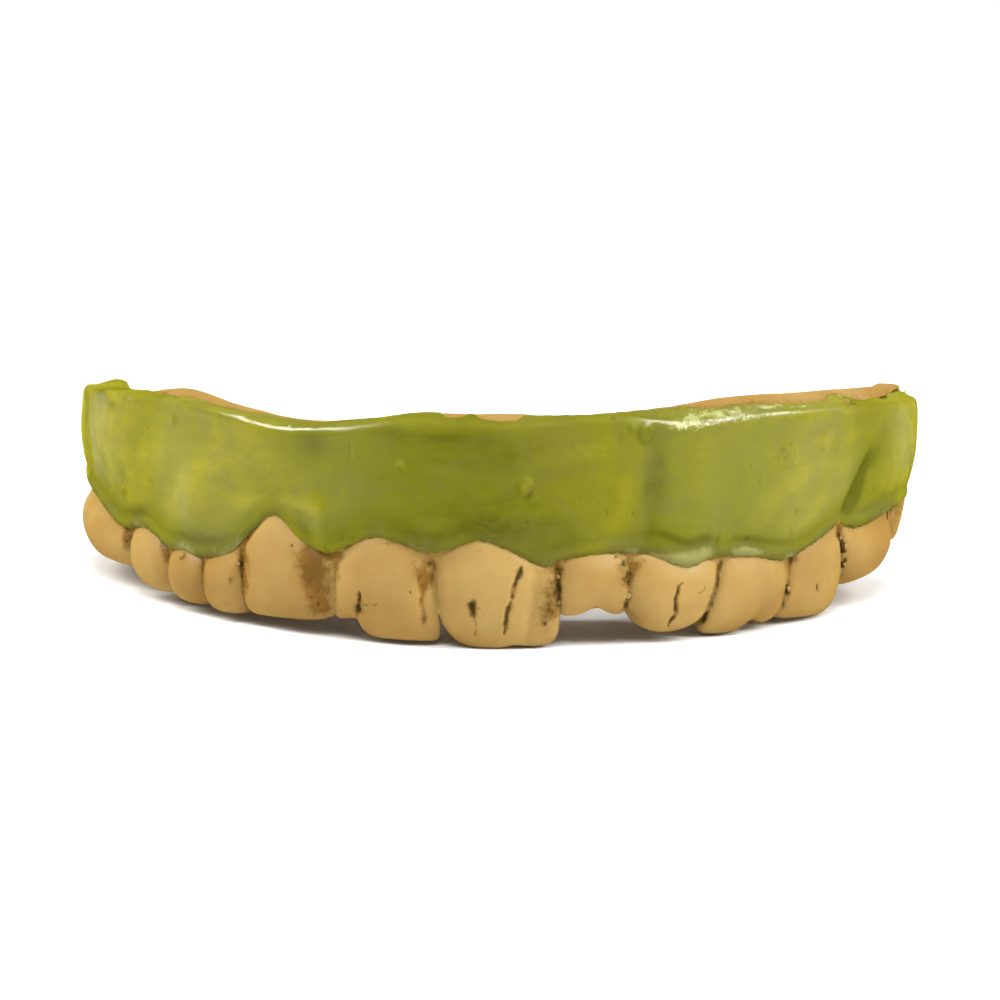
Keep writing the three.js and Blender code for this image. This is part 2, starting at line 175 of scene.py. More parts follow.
# Hollows (depth above 0) and swellings (below 0) of the gum: along, up, long, wide, tilt, depth
GUM_RELIEF = (
    (43.4, 8.7, 2.4, 1.9, 0, -0.2), (33.2, 9.35, 3.0, 1.6, 80, -0.22),
    (15.8, 11.95, 3.4, 1.0, 84, 0.34), (19.6, 11.35, 3.6, 1.5, 88, -0.22),
    (-9.0, 8.75, 2.4, 0.8, -75, -0.3), (-21, 8.95, 2.6, 1.3, 88, -0.25), (51, 10, 6, 5, 0, -0.35),
    (-46, 6.6, 8, 1.5, 0, 0.12), (-33, 7.3, 3.0, 0.9, -28, 0.22), (-31.4, 8.8, 1.2, 1.0, -40, 0.16),
    (-12.2, 9.5, 5.5, 0.7, 4, -0.14), (13.4, 11.5, 3.2, 1.0, 88, -0.18),
    (-10.3, 14.2, 1.6, 1.3, 0, 0.12), (21.3, 7.0, 0.8, 0.22, 80, 0.2), (27.6, 9.6, 3.0, 1.1, 20, -0.1),
    (3.2, 10.2, 3.5, 1.0, 8, 0.1), (-2.5, 10.6, 3.0, 0.9, -10, -0.1), (8.6, 13.6, 3.0, 0.8, 15, -0.1),
)
# Creases and ridges of the gum as lines of (along, up, half width), with a depth
GUM_FOLDS = (
    (0.5, ((39.8, 10.6, 1.3), (37.6, 9.2, 1.05), (36.2, 7.8, 0.8), (35.6, 7.0, 0.6))),
    (0.2, ((44.2, 12.4, 1.8), (40.6, 11.0, 1.6))),
    (-0.12, ((36.0, 12.6, 1.4), (35.0, 10.2, 1.2), (34.0, 7.6, 0.9))),
    (-0.07, ((27.4, 13.6, 0.1), (27.8, 13.2, 0.1), (27.6, 12.8, 0.11), (27.9, 12.4, 0.1))),
    (-0.06, ((27.8, 13.2, 0.1), (28.3, 13.3, 0.1), (28.4, 12.9, 0.1))),
    (-0.16, ((-8.7, 9.3, 0.5), (-8.5, 7.0, 0.4))),
    (0.1, ((2.75, 9.15, 0.08), (3.4, 8.85, 0.1), (4.15, 8.5, 0.08))),
    (0.08, ((-6.7, 14.6, 0.12), (-6.6, 13.4, 0.12))),
    (0.12, ((40.6, 9.2, 0.1), (40.4, 8.6, 0.12), (40.8, 8.2, 0.1))),
    (0.16, ((48.9, 13.2, 0.1), (49.3, 12.7, 0.1))),
)
# Blisters (standing out) and pits (below 0) of the gum: along, up, radius, stand
BLISTERS = (
    (6.05, 11.95, 0.54, 0.3), (-2.9, 13.2, 0.27, 0.24), (14.9, 15.7, 0.6, 0.3), (13.9, 16.1, 0.3, 0.16),
    (12.8, 15.4, 0.35, -0.12), (-33.2, 13.9, 0.5, 0.22), (-30.6, 7.7, 0.34, 0.3),
    (32.1, 13.3, 0.55, 0.16), (33.3, 13.4, 0.5, -0.08), (42.1, 8.35, 0.32, 0.14),
    (-33.8, 6.6, 0.3, 0.14), (-23.3, 14.1, 0.35, 0.14), (22.5, 7.25, 0.24, 0.16),
    (24.3, 7.1, 0.16, -0.16), (29.0, 8.6, 0.16, -0.12), (12.0, 10.0, 0.13, -0.12),
    (14.0, 9.8, 0.13, -0.12), (14.3, 9.6, 0.1, -0.1), (6.2, 9.3, 0.12, -0.1), (-7.4, 7.6, 0.14, -0.1),
    (-6.5, 7.65, 0.12, -0.1), (18.0, 6.6, 0.2, -0.07), (24.2, 12.6, 0.2, 0.06), (25.1, 11.4, 0.2, 0.06),
    (-18.5, 10.6, 0.25, 0.05), (9.6, 14.9, 0.3, 0.06),
)
# Ring marks left by burst blisters: along, up, radius, stand
RINGS = (
    (-26.2, 9.0, 0.3, 0.07), (29.1, 7.4, 0.36, 0.09), (17.8, 6.45, 0.4, 0.06), (27.8, 13.0, 0.9, 0.06),
)
# Rough places of the gum: along, up, long, wide, height of the grain, size of the grain
ROUGH = (
    (27.8, 13.0, 1.0, 1.0, 0.09, 0.34), (19.0, 16.1, 2.4, 0.8, 0.16, 0.5),
    (-30.0, 14.7, 2.6, 0.5, 0.1, 0.5), (24.5, 16.3, 2.5, 0.5, 0.1, 0.6),
    (38.0, 15.6, 1.6, 0.6, 0.14, 0.45), (-25.5, 15.2, 2.0, 0.4, 0.08, 0.4),
    (-3.2, 16.5, 1.2, 0.4, 0.12, 0.4),
)
# Holes and beads on top of the rim: along, inward, radius, stand
RIM_MARKS = (
    (37.7, 1.2, 0.34, -0.4), (37.2, 1.25, 0.3, -0.35), (38.8, 1.8, 0.34, 0.22), (-3.6, 1.6, 0.3, -0.25),
)
# How light the green is along the arch, partly painted light: lit flanks, shaded middle, sheen at far left
GREEN_TONE_AND_PAINTED_LIGHT = (
    (-54, 1.15), (-46, 1.12), (-43.5, 0.95), (-41, 0.72), (-37, 0.7), (-33, 0.78), (-30, 0.72),
    (-26, 0.58), (-21, 0.6), (-15, 0.62), (-9, 0.52), (-3, 0.36), (4, 0.31), (9, 0.38), (12.5, 0.5),
    (15.6, 0.3), (19, 0.46), (24, 0.48), (29, 0.6), (35, 0.62), (38, 0.5), (44, 0.68), (54, 0.78),
)
# Light and dark clouds of the green, some painted light and shade: along, up, long, wide, tilt, amount
GREEN_CLOUDS_AND_PAINTED_LIGHT = (
    (-26.5, 10.8, 3.6, 1.6, 58, 0.2), (-22, 8.6, 3.2, 1.6, 52, 0.22), (-18.5, 12.2, 3.4, 1.2, 45, 0.14),
    (-12.0, 9.5, 5.5, 0.7, 4, 0.2), (-9.8, 14.2, 1.8, 1.4, 0, -0.4), (-1, 15.4, 5.5, 0.7, -3, -0.2),
    (-3.5, 16.2, 4.5, 0.35, -3, 0.3), (4.6, 13.6, 4.0, 1.0, 0, -0.14), (9.5, 14.4, 3.0, 0.8, 12, 0.16),
    (13.5, 11.2, 2.6, 0.9, 88, 0.16), (12.6, 8.9, 1.6, 0.8, 60, 0.12),
    (15.7, 12.6, 3.4, 0.9, 86, -0.25), (19.4, 12, 3.6, 1.0, 88, 0.08), (27, 9.8, 4.5, 1.0, 24, 0.14),
    (31.5, 9.0, 3.0, 0.8, 40, 0.12), (23, 10.6, 1.4, 2.4, 0, -0.12), (-31.2, 8.6, 1.2, 1.2, 0, -0.2),
    (-33.4, 6.6, 3.4, 0.7, -28, -0.3), (-19.4, 6.0, 3.6, 0.9, 8, -0.34),
    (-10.4, 7.9, 1.4, 0.6, -60, -0.3), (-7.4, 8.0, 1.0, 0.8, 50, -0.16),
    # Painted shade in the hollow of the fold at the right, and painted light on the big blister
    (40.4, 11.0, 3.2, 1.1, 24, -0.4), (37.6, 9.2, 2.2, 1.0, 52, -0.9), (6.0, 12.05, 0.42, 0.6, 0, 0.3),
    (7.5, 9.0, 3.2, 1.3, 0, -0.16), (3.0, 9.6, 3.0, 0.9, -8, -0.12), (-28.6, 6.2, 2.4, 0.6, 20, -0.22),
    # Painted shade on the rim top of the left end, darkened against the light from above
    (-47, 13.2, 5.0, 0.7, -8, -0.5), (-38, 14.3, 4.5, 0.5, -8, -0.45),
    # Painted shade on the lower right edge of the big blister
    (6.45, 11.6, 0.2, 0.5, -20, -0.35),
)

# Climb from the biting edge's middle to the crown's hidden top: share of the height, width, depth of
# the front and of the sides, then height and depth of the back
INCISOR = (
    (0.0, 0.0, 0.0, 1.58, 1.58, 0.0, 1.58), (0.12, 0.0, 0.74, 1.17, 1.55, 0.0, 2.0),
    (0.18, 0.03, 0.9, 0.72, 1.5, 0.12, 2.45), (0.26, 0.13, 0.98, 0.25, 1.35, 0.7, 2.9),
    (0.38, 0.3, 1.0, -0.08, 1.2, 1.7, 3.0), (0.52, 0.5, 1.0, -0.22, 1.1, 2.7, 2.4),
    (0.68, 0.72, 0.98, -0.12, 1.05, 3.3, 1.5), (0.8, 0.89, 0.95, 0.22, 1.05, 5.2, 1.5),
    (0.88, 1.0, 0.9, 0.56, 1.1, 6.2, 1.5), (0.93, 1.06, 0.86, 0.8, 1.1, 6.4, 1.5),
    (1.0, 1.06, 0.0, 1.2, 1.2, 6.4, 1.2),
)
PEG = (
    (0.0, 0.0, 0.0, 1.7, 1.7, 0.0, 1.7), (0.08, 0.0, 0.4, 1.32, 1.7, 0.0, 2.3),
    (0.14, 0.03, 0.64, 0.85, 1.6, 0.1, 3.0), (0.23, 0.12, 0.84, 0.35, 1.4, 0.6, 3.7),
    (0.36, 0.28, 0.96, 0.0, 1.25, 1.5, 3.9), (0.52, 0.5, 1.0, -0.2, 1.15, 2.6, 3.4),
    (0.68, 0.72, 0.98, -0.1, 1.05, 3.3, 1.6), (0.8, 0.89, 0.95, 0.22, 1.05, 4.2, 1.5),
    (0.88, 1.0, 0.9, 0.56, 1.1, 5.0, 1.5), (0.93, 1.06, 0.86, 0.8, 1.1, 5.2, 1.5),
    (1.0, 1.06, 0.0, 1.2, 1.2, 5.2, 1.2),
)
MOLAR = (
    (0.0, 0.0, 0.0, 2.8, 2.8, 0.0, 2.8), (0.1, 0.0, 0.56, 1.6, 2.6, 0.0, 4.4),
    (0.17, 0.05, 0.74, 1.0, 2.4, 0.1, 6.0), (0.26, 0.15, 0.93, 0.2, 2.1, 0.5, 7.4),
    (0.38, 0.3, 0.99, -0.25, 1.7, 1.4, 8.2), (0.54, 0.52, 1.0, -0.5, 1.35, 3.1, 8.0),
    (0.7, 0.74, 0.98, -0.3, 1.1, 3.3, 2.0), (0.81, 0.9, 0.96, 0.22, 1.05, 4.2, 1.5),
    (0.88, 1.0, 0.93, 0.56, 1.1, 5.0, 1.5), (0.93, 1.06, 0.88, 0.8, 1.1, 5.2, 1.5),
    (1.0, 1.06, 0.0, 1.2, 1.2, 5.2, 1.2),
)
# Crown, its rings, start and end along the arch, lean of its tip at either side, its biting edge as
# (across, height) rows, and how low a molar's inner cusps reach
TEETH = {
    "right_molar": (MOLAR, -43.0, -30.15, (0.1, 0.1), ((-1, 2.1), (-0.5, 1.4), (0.1, 1.2), (1, 1.6)), 1.0),
    "right_premolar_2": (PEG, -29.85, -24.3, (0.3, 0.3), ((-1, 0.9), (0.3, 0.8), (1, 1.0)), None),
    "right_premolar_1": (PEG, -24.0, -20.15, (0.2, 0.2), ((-1, 0.6), (0.2, 0.65), (1, 0.8)), None),
    "right_canine": (PEG, -19.85, -16.2, (0.2, 0.2), ((-1, 0.5), (0, 0.55), (1, 0.7)), None),
    "right_lateral": (INCISOR, -15.9, -8.05, (0.0, 0.0), ((-1, 0.8), (0, 1.0), (0.6, 1.2), (1, 1.7)), None),
    "right_central": (
        INCISOR, -7.75, -0.45, (-0.3, 0.5),
        ((-1, 1.2), (-0.53, 1.55), (-0.4, 0.8), (-0.2, 0.4), (0.3, 0.3), (1, 0.3)), None,
    ),
    "left_central": (
        INCISOR, -0.15, 8.75, (0.35, 0.1),
        ((-1, 1.7), (-0.75, 0.6), (-0.5, 0.1), (-0.25, 0.0), (0, 0.0), (0.25, 0.22), (0.6, 0.14), (1, 0.3)),
        None,
    ),
    "left_lateral": (
        INCISOR, 9.05, 14.05, (0.0, 0.0),
        ((-1, 2.4), (-0.5, 2.35), (0.1, 2.85), (0.6, 2.35), (1, 2.2)), None,
    ),
    "left_canine": (
        PEG, 14.35, 21.75, (-0.4, -1.0),
        ((-1, 2.8), (-0.7, 1.8), (-0.4, 1.05), (0, 0.75), (0.5, 0.8), (1, 1.0)), None,
    ),
    "left_premolar_1": (
        PEG, 22.4, 28.75, (-2.3, -0.4),
        ((-0.6, 0.2), (-0.1, 0.2), (0.25, 0.85), (0.55, 0.35), (1, 0.4)), None,
    ),
    "left_premolar_2": (
        PEG, 29.4, 35.6, (-1.7, 0.6), ((-1, 0.9), (-0.5, 0.5), (0, 0.2), (0.5, 0.12), (1, 0.3)), None,
    ),
    "left_molar": (MOLAR, 35.9, 45.0, (0.1, 0.1), ((-1, 1.7), (0, 1.6), (1, 2.3)), 1.4),
}

# Brown and dark stains as seen from the front: along, up, long, wide, tilt, brown, dark
STAINS = (
    (-30.1, 4.3, 0.6, 0.8, 0, 0.8, 0.0), (-29.3, 4.5, 0.5, 0.8, 0, 0.65, 0.15),
    (-24.2, 4.5, 0.45, 0.8, 0, 0.8, 0.0), (-23.6, 3.9, 0.35, 0.8, 0, 0.55, 0.0),
    (-19.5, 3.2, 0.3, 1.5, 0, 0.8, 0.42), (-16.7, 3.4, 0.3, 0.3, 0, 0.8, 0.62),
    (-15.7, 5.5, 0.45, 1.2, 0, 0.85, 0.48), (-15.4, 3.6, 0.35, 1.5, 0, 0.75, 0.2),
    (-15.2, 6.9, 0.5, 0.35, 40, 0.8, 0.85), (-14.2, 7.7, 0.5, 0.22, 40, 0.7, 0.75),
    (-9.7, 6.0, 0.8, 1.0, 0, 1.0, 0.0), (-9.5, 4.6, 0.75, 1.2, 0, 0.85, 0.0),
    (-9.2, 3.2, 0.65, 1.0, 0, 0.75, 0.1), (-8.8, 2.1, 0.6, 0.45, 0, 0.7, 0.3),
    (-8.2, 4.2, 0.4, 1.8, 0, 0.4, 0.0), (-8.0, 6.3, 0.8, 0.25, 0, 0.7, 0.2),
    (-11.2, 6.6, 0.13, 0.13, 0, 0.6, 0.95), (-8.9, 2.6, 0.14, 0.14, 0, 0.6, 0.9),
    (-7.4, 5.4, 0.3, 1.2, 0, 0.55, 0.0), (-5.75, 2.5, 0.3, 0.5, 0, 0.9, 1.05),
    (-5.8, 3.3, 0.14, 0.5, 0, 0.7, 0.9), (-1.9, 4.1, 0.12, 0.12, 0, 0.5, 0.85),
    (-1.15, 4.9, 0.28, 0.7, 0, 0.95, 0.3), (-0.6, 6.2, 0.42, 0.6, 30, 0.85, 0.7),
    (-0.6, 5.1, 0.22, 0.35, 0, 0.9, 0.75), (-1.1, 3.4, 0.18, 1.2, 0, 0.7, 0.35),
    (-0.95, 2.1, 0.15, 0.3, 0, 0.6, 0.4), (-1.6, 5.8, 0.3, 0.8, 20, 0.6, 0.4),
    (2.5, 3.35, 0.34, 0.46, 10, 0.85, 1.05), (2.6, 2.7, 0.2, 0.3, 0, 0.95, 0.4),
    (8.1, 4.5, 0.5, 1.6, 0, 0.4, 0.5), (8.0, 2.9, 0.4, 0.5, 0, 0.5, 0.55),
    (7.7, 2.0, 0.14, 0.14, 0, 0.4, 0.8), (8.65, 4.4, 0.24, 1.6, 0, 0.6, 0.9),
    (8.6, 6.0, 0.32, 0.4, 0, 0.6, 0.62), (11.5, 3.1, 0.35, 0.12, 10, 0.5, 0.7),
    (13.6, 6.3, 0.5, 0.35, 20, 0.6, 0.75), (13.8, 5.1, 0.36, 0.8, 0, 0.6, 0.85),
    (13.8, 3.3, 0.36, 0.5, 0, 0.6, 0.95), (14.5, 6.0, 0.3, 0.6, -30, 0.95, 0.35),
    (12.9, 6.75, 0.5, 0.2, 0, 0.6, 0.7), (28.6, 5.1, 0.42, 0.35, 20, 0.6, 0.72),
    (28.5, 3.9, 0.25, 0.9, 0, 0.6, 0.65), (28.3, 2.8, 0.45, 0.4, 0, 0.6, 0.45),
    (27.9, 1.8, 0.28, 0.5, 0, 0.6, 0.65), (34.4, 6.2, 0.28, 0.3, 30, 0.6, 0.75),
    (34.9, 5.7, 0.36, 0.32, 0, 0.6, 0.95), (35.6, 4.0, 0.32, 0.5, 0, 0.6, 0.95),
    (35.3, 2.9, 0.2, 0.5, 0, 0.5, 0.45), (36.1, 6.3, 0.3, 0.1, 10, 0.5, 0.6),
    (44.8, 6.4, 0.35, 0.3, 0, 0.6, 0.9), (44.7, 5.0, 0.14, 1.2, 0, 0.7, 0.6),
    (34.7, 6.7, 0.5, 0.5, 0, 0.9, 0.6), (28.8, 5.4, 0.5, 0.5, 0, 0.9, 0.5),
    (-3.2, 7.6, 1.6, 0.16, 10, 0.5, 0.3), (-29.0, 5.0, 1.0, 0.16, 0, 0.4, 0.2),
    (7.2, 3.0, 0.8, 1.6, 0, 0.32, 0.0),
)
# Painted shade on the crowns, where their faces turn from the light: along, up, long, wide, tilt, amount
SHADE = (
    (7.7, 3.2, 1.1, 2.6, 0, 0.8), (3.2, 3.0, 3.2, 3.0, 0, 0.25), (-4.0, 4.0, 2.6, 2.6, 0, 0.25),
    (25.4, 3.6, 2.6, 2.4, 0, 0.3),
)
# Cracks across the crowns as lines of (along, up, half width), with a depth and how dark they are
CRACKS = (
    (
        0.16, 1.0,
        ((5.9, 6.1, 0.12), (5.78, 5.75, 0.22), (5.58, 5.1, 0.12), (5.42, 4.5, 0.2), (5.25, 3.95, 0.13)),
    ),
    (
        0.16, 1.0,
        ((5.15, 3.6, 0.1), (5.08, 3.2, 0.22), (4.95, 2.5, 0.17), (4.86, 1.9, 0.12), (4.75, 1.3, 0.06)),
    ),
    (0.14, 1.0, ((2.5, 3.5, 0.3), (2.55, 3.1, 0.26), (2.62, 2.6, 0.1))),
    (0.06, 0.75, ((2.62, 2.6, 0.08), (2.8, 1.25, 0.07))),
    (
        0.14, 1.0,
        (
            (18.25, 4.5, 0.07), (17.95, 4.25, 0.13), (17.8, 3.5, 0.15), (17.75, 2.8, 0.17),
            (17.65, 2.1, 0.2), (17.2, 1.45, 0.08),
        ),
    ),
    (0.06, 0.7, ((-5.6, 2.85, 0.06), (-5.1, 2.9, 0.06), (-4.7, 3.05, 0.05), (-4.2, 3.05, 0.05))),
    (0.16, 1.0, ((-5.8, 3.7, 0.08), (-5.78, 3.0, 0.14), (-5.75, 2.4, 0.24))),
    (0.16, 1.0, ((21.6, 5.8, 0.2), (21.3, 4.4, 0.2), (20.85, 2.8, 0.2), (20.1, 1.4, 0.16))),
    (0.1, 0.95, ((31.75, 2.75, 0.09), (31.7, 2.55, 0.11), (31.85, 2.35, 0.09))),
    (0.05, 0.6, ((19.6, 3.6, 0.05), (19.9, 3.75, 0.05), (20.4, 4.1, 0.06))),
    (0.05, 0.55, ((20.1, 4.4, 0.05), (20.1, 3.7, 0.05))),
    (0.14, 0.25, ((-1.25, 6.6, 0.3), (-1.15, 4.6, 0.3), (-1.0, 2.2, 0.24))),
    (0.14, 0.0, ((7.0, 5.6, 0.35), (6.7, 3.0, 0.4), (6.4, 0.8, 0.4))),
)
# Casting beads caught in the grooves: crown, along, up, inward, radius, how dirty
BEADS = (
    ("left_central", 8.75, 5.3, 0.75, 0.24, 1.0), ("left_central", 8.8, 3.4, 0.85, 0.3, 1.0),
    ("left_lateral", 14.1, 3.75, 0.75, 0.36, 1.0), ("left_premolar_2", 28.75, 2.85, 0.5, 0.36, 1.0),
    ("left_molar", 35.85, 4.95, 0.4, 0.42, 0.9), ("left_molar", 35.3, 5.75, 0.5, 0.26, 1.0),
    ("left_molar", 36.1, 3.6, 0.5, 0.24, 1.0), ("right_central", -0.75, 5.75, 0.9, 0.3, 1.0),
    ("right_canine", -16.2, 4.55, 0.5, 0.22, 1.0), ("right_premolar_1", -22.0, 4.2, 0.2, 0.28, 0.0),
    ("right_central", -0.8, 4.6, 0.95, 0.24, 1.0),
)
CAMERA_TARGET = (1.955, 0.536, 7.48)
# Light, turn and height in degrees, distance and size in metres, setting with its power, what it lights
LIGHTS = (
    ("left_softbox", -88, 36, 0.45, (0.04, 0.28), "side_power", "shade"),
    ("right_softbox", 80, 36, 0.45, (0.04, 0.28), "side_power", "shade"),
    ("top_softbox", 2, 60, 2.4, (1.5, 1.2), "top_power", "shade"),
    ("left_gleam", -62, 52, 0.6, (0.36, 0.2), "left_gleam", "gloss"),
    ("right_gleam", 92, 50, 0.6, (0.7, 0.2), "right_gleam", "gloss"),
)


def linear(red, green, blue):
    """A display colour from 0 to 255 as linear light."""
    shares = [channel / 255 for channel in (red, green, blue)]
    return tuple(s / 12.92 if s <= 0.04045 else ((s + 0.055) / 1.055) ** 2.4 for s in shares)


def length(name, description, default):
    """A size that a user may change."""
    return bpy.props.FloatProperty(
        name=name, description=description, default=default, unit="LENGTH", subtype="DISTANCE", precision=5
    )


def number(name, description, default):
    """A plain number that a user may change."""
    return bpy.props.FloatProperty(name=name, description=description, default=default)


def colour(name, description, default):
    """A colour that a user may change."""
    return bpy.props.FloatVectorProperty(
        name=name, description=description, default=default, subtype="COLOR", size=3, min=0, max=1
    )


class ArchSizes(bpy.types.PropertyGroup):
    """Sizes of the arch and of the casting on it"""

    half_width: length("Half width", "Gum's outer face at the widest place", ARCH[0] * MM)
    depth: length("Depth", "From the front teeth to the widest place", ARCH[1] * MM)
    wall: length("Wall", "Thickness of the tray's outer wall", 0.0018)
    lip_wall: length("Inner wall", "Thickness of the tray's inner wall", 0.0016)
    lip_top: length("Inner wall top", "Height of the tray's inner wall", 0.0099)
    floor: length("Channel floor", "Height of the channel's floor", 0.0055)
    coat: length("Coat", "Thickness of the green over the rim", 0.00014)
    web: length("Web", "Depth of the casting between the crowns", 0.00068)


class FinishColours(bpy.types.PropertyGroup):
    """Colours of the paint, the acrylic and the stains"""

    gum_dark: colour("Dark green", "Green in the thin and shaded strokes", linear(84, 84, 14))
    gum_mid: colour("Green", "Most of the gum", linear(111, 110, 25))
    gum_light: colour("Light green", "Yellow strokes of the brush", linear(143, 137, 33))
    # Pale paint, also used as a painted reflection of the grazing sheen at the right leg's far end
    gum_pale_and_sheen: colour("Pale green", "Thick paint at the end of the right leg", linear(176, 172, 98))
    gum_grey: colour("Grey green", "Duller clouds in the paint", linear(107, 103, 43))
    gum_lip: colour("Lip green", "Greyer paint along the gumline", linear(92, 91, 42))
    gum_roll: colour("Roll green", "Pale paint on the rolled lips", linear(135, 133, 78))
    # Pale crust, also used for painted highlights on the rim's glossy ridges
    crust: colour("Crust", "Pale crust of thick paint along the rim", linear(176, 178, 116))
    # Painted shade of the crowns' faces that turn from the light
    tan_painted_shade: colour("Deep tan", "Duller acrylic of worn places", linear(112, 86, 44))
    tan_dark: colour("Dark tan", "Warm cloud in the acrylic", linear(145, 113, 58))
    tan_light: colour("Light tan", "Pale cloud in the acrylic", linear(166, 137, 79))
    tray_tan: colour("Tray tan", "Bare acrylic of the tray", linear(155, 126, 74))
    stain: colour("Stain", "Brown wash in the grooves", linear(98, 68, 18))
    amber: colour("Amber", "Thin yellow-brown wash", linear(122, 85, 26))
    grime: colour("Grime", "Dark paint in cracks and grooves", linear(46, 37, 16))
    ground: colour("Floor", "Pale floor", linear(243, 243, 242))


class StageSettings(bpy.types.PropertyGroup):
    """View and light"""

    azimuth: number("Azimuth", "Turn of the view in degrees", VIEW[0])
    elevation: number("Elevation", "Height of the view in degrees", VIEW[1])
    roll: number("Roll", "Lean of the view in degrees", 1.43)
    distance: length("Distance", "From the camera to the teeth", 0.45)
    lens: number("Lens", "Focal length in millimetres", 218.68)
    side_power: number("Side light", "Watts of each side light", 1.8)
    top_power: number("Top light", "Watts of the light above the front", 43.0)
    left_gleam: number("Left gleam", "Watts of the light that the left rim mirrors", 14.0)
    right_gleam: number("Right gleam", "Watts of the light that the right rim mirrors", 26.0)
    sky: number("Sky", "Strength of the even light all round", 0.42)


# Helpers


def blend(low, high, share):
    return low + (high - low) * share


def steps(count):
    """Even shares from 0 up to, but without, 1."""
    return np.arange(count) / count


def ease(value, start, end):
    """Smooth step from 0 at start to 1 at end."""
    share = np.clip((value - start) / (end - start), 0, 1)
    return share * share * (3 - 2 * share)


def follow(rows, column, place):
    """A table's column at places along its first column, on a smooth curve through its rows."""
    table = np.array(rows, float)
    key = table[:, 0]
    value = table[:, column]
    last = len(key) - 1
    before = np.maximum(np.arange(last + 1) - 1, 0)
    after = np.minimum(np.arange(last + 1) + 1, last)
    slope = (value[after] - value[before]) / (key[after] - key[before])
    x = np.clip(place, key[0], key[-1])
    i = np.clip(np.searchsorted(key, x, side="right") - 1, 0, last - 1)
    span = key[i + 1] - key[i]
    t = (x - key[i]) / span
    straight = blend(value[i], value[i + 1], t * t * (3 - 2 * t))
    return straight + t * (1 - t) * span * (slope[i] * (1 - t) - slope[i + 1] * t)


def spots(rows, along, up, column):
    """Sum of soft oval spots, each turned by its tilt, with the amount in the given column."""
    total = np.zeros(np.shape(along))
    for row in rows:
        turn = math.radians(row[4])
        x = along - row[0]
        y = up - row[1]
        lengthwise = (x * math.cos(turn) + y * math.sin(turn)) / row[2]
        crosswise = (y * math.cos(turn) - x * math.sin(turn)) / row[3]
        total = total + row[column] * np.exp(-lengthwise**2 - crosswise**2)
    return total


def near_line(line, along, up):
    """Closeness to a line of (along, up, half width) places: 1 on it, falling off with its width."""
    best = np.zeros(np.shape(along))
    for start, end in zip(line, line[1:]):
        dx = end[0] - start[0]
        dy = end[1] - start[1]
        t = np.clip(((along - start[0]) * dx + (up - start[1]) * dy) / (dx * dx + dy * dy), 0, 1)
        gap = np.hypot(along - start[0] - t * dx, up - start[1] - t * dy)
        best = np.maximum(best, np.exp(-((gap / blend(start[2], end[2], t)) ** 2)))
    return best


def ripple(points, size, seed):
    """Smooth noise from about -1 to 1 for each point, with waves of the given size in millimetres."""
    shift = Vector((seed * 7.13, seed * 3.71, seed * 5.37))
    flat = points.reshape(-1, 3) / (MM * size)
    values = [noise.noise(Vector(point) + shift) for point in flat]
    return np.array(values).reshape(points.shape[:-1])


def view_back(azimuth, elevation):
    """Direction towards the viewer, from degrees."""
    turn = math.radians(azimuth)
    rise = math.radians(elevation)
    return math.sin(turn) * math.cos(rise), -math.cos(turn) * math.cos(rise), math.sin(rise)


class ArchChart:
    """Bends places along, inward and up round the dental arch."""

    def __init__(self, half_width, depth):
        self.half_width = half_width
        self.depth = depth
        self.turn = np.linspace(-math.pi / 2, math.pi / 2, ARCH_STEPS)
        x = self.half_width * np.sin(self.turn)
        y = -self.depth * np.cos(self.turn)
        run = np.concatenate(([0], np.cumsum(np.hypot(np.diff(x), np.diff(y)))))
        self.run = run - run[-1] / 2

    def way(self, along):
        """The arch's direction at a place along it."""
        turn = np.interp(along, self.run, self.turn)
        x = self.half_width * np.cos(turn)
        y = self.depth * np.sin(turn)
        size = np.hypot(x, y)
        return turn, x / size, y / size

    def points(self, along, inward, up):
        """Points of the part's frame, in metres."""
        turn, x, y = self.way(along)
        place = (
            self.half_width * np.sin(turn) - y * inward,
            self.depth - self.depth * np.cos(turn) + x * inward,
            np.broadcast_to(up, np.shape(along)),
        )
        return (np.stack(place, axis=-1) + CHART_ORIGIN) * MM

    def seen_place(self, along, inward, up, azimuth, elevation):
        """Where a point shows on the gum's outer face when it is looked at from the front."""
        _, x, y = self.way(along)
        back_x, back_y, back_z = view_back(azimuth, elevation)
        outward = np.maximum(back_x * y - back_y * x, GRAZE)
        sideways = back_x * x + back_y * y
        return along + inward * sideways / outward, up + inward * back_z / outward

    def set_back(self, rows, inward):
        """Rows read off the gum's face, moved to where they lie at a depth behind it."""
        along, up = np.array(rows, float).T
        seen_along, seen_up = self.seen_place(along, inward, up, *VIEW)
        return np.column_stack((2 * along - seen_along, 2 * up - seen_up))


MARGIN = ArchChart(*ARCH).set_back(SEEN_MARGIN, MARGIN_DEPTH)


def chart_of(scene):
    """The chart of the scene's own arch sizes."""
    return ArchChart(scene.teeth_arch.half_width / MM, scene.teeth_arch.depth / MM)


def leaned(along, up):
    """Place along the arch of a point in a cross section, which leans forward towards a leg's end."""
    top = follow(RIM, 1, along)
    share = ease(np.abs(along), END_LEAN["start"], LEG_END[1])
    curl = END_LEAN["curl"] * np.maximum(0, END_LEAN["knee"] - up) ** 2
    return along - np.sign(along) * share * (END_LEAN["slope"] * (top - up) + curl)


def section_places(count, short):
    """Places of the cross sections, closer together at the rounded ends of the legs."""
    start = LEG_END[0] + short
    end = LEG_END[1] - short
    close = END_ROUND * np.array(END_STEPS)
    return np.unique(np.concatenate((np.linspace(start, end, count + 1), start + close, end - close)))


def end_inset(along, short):
    """How far a cross section draws in to round the end of a leg."""
    gap = np.minimum(along - LEG_END[0], LEG_END[1] - along) - short
    gap = np.minimum(gap, END_ROUND)
    return END_ROUND - np.sqrt(np.maximum(END_ROUND**2 - (END_ROUND - gap) ** 2, 0))


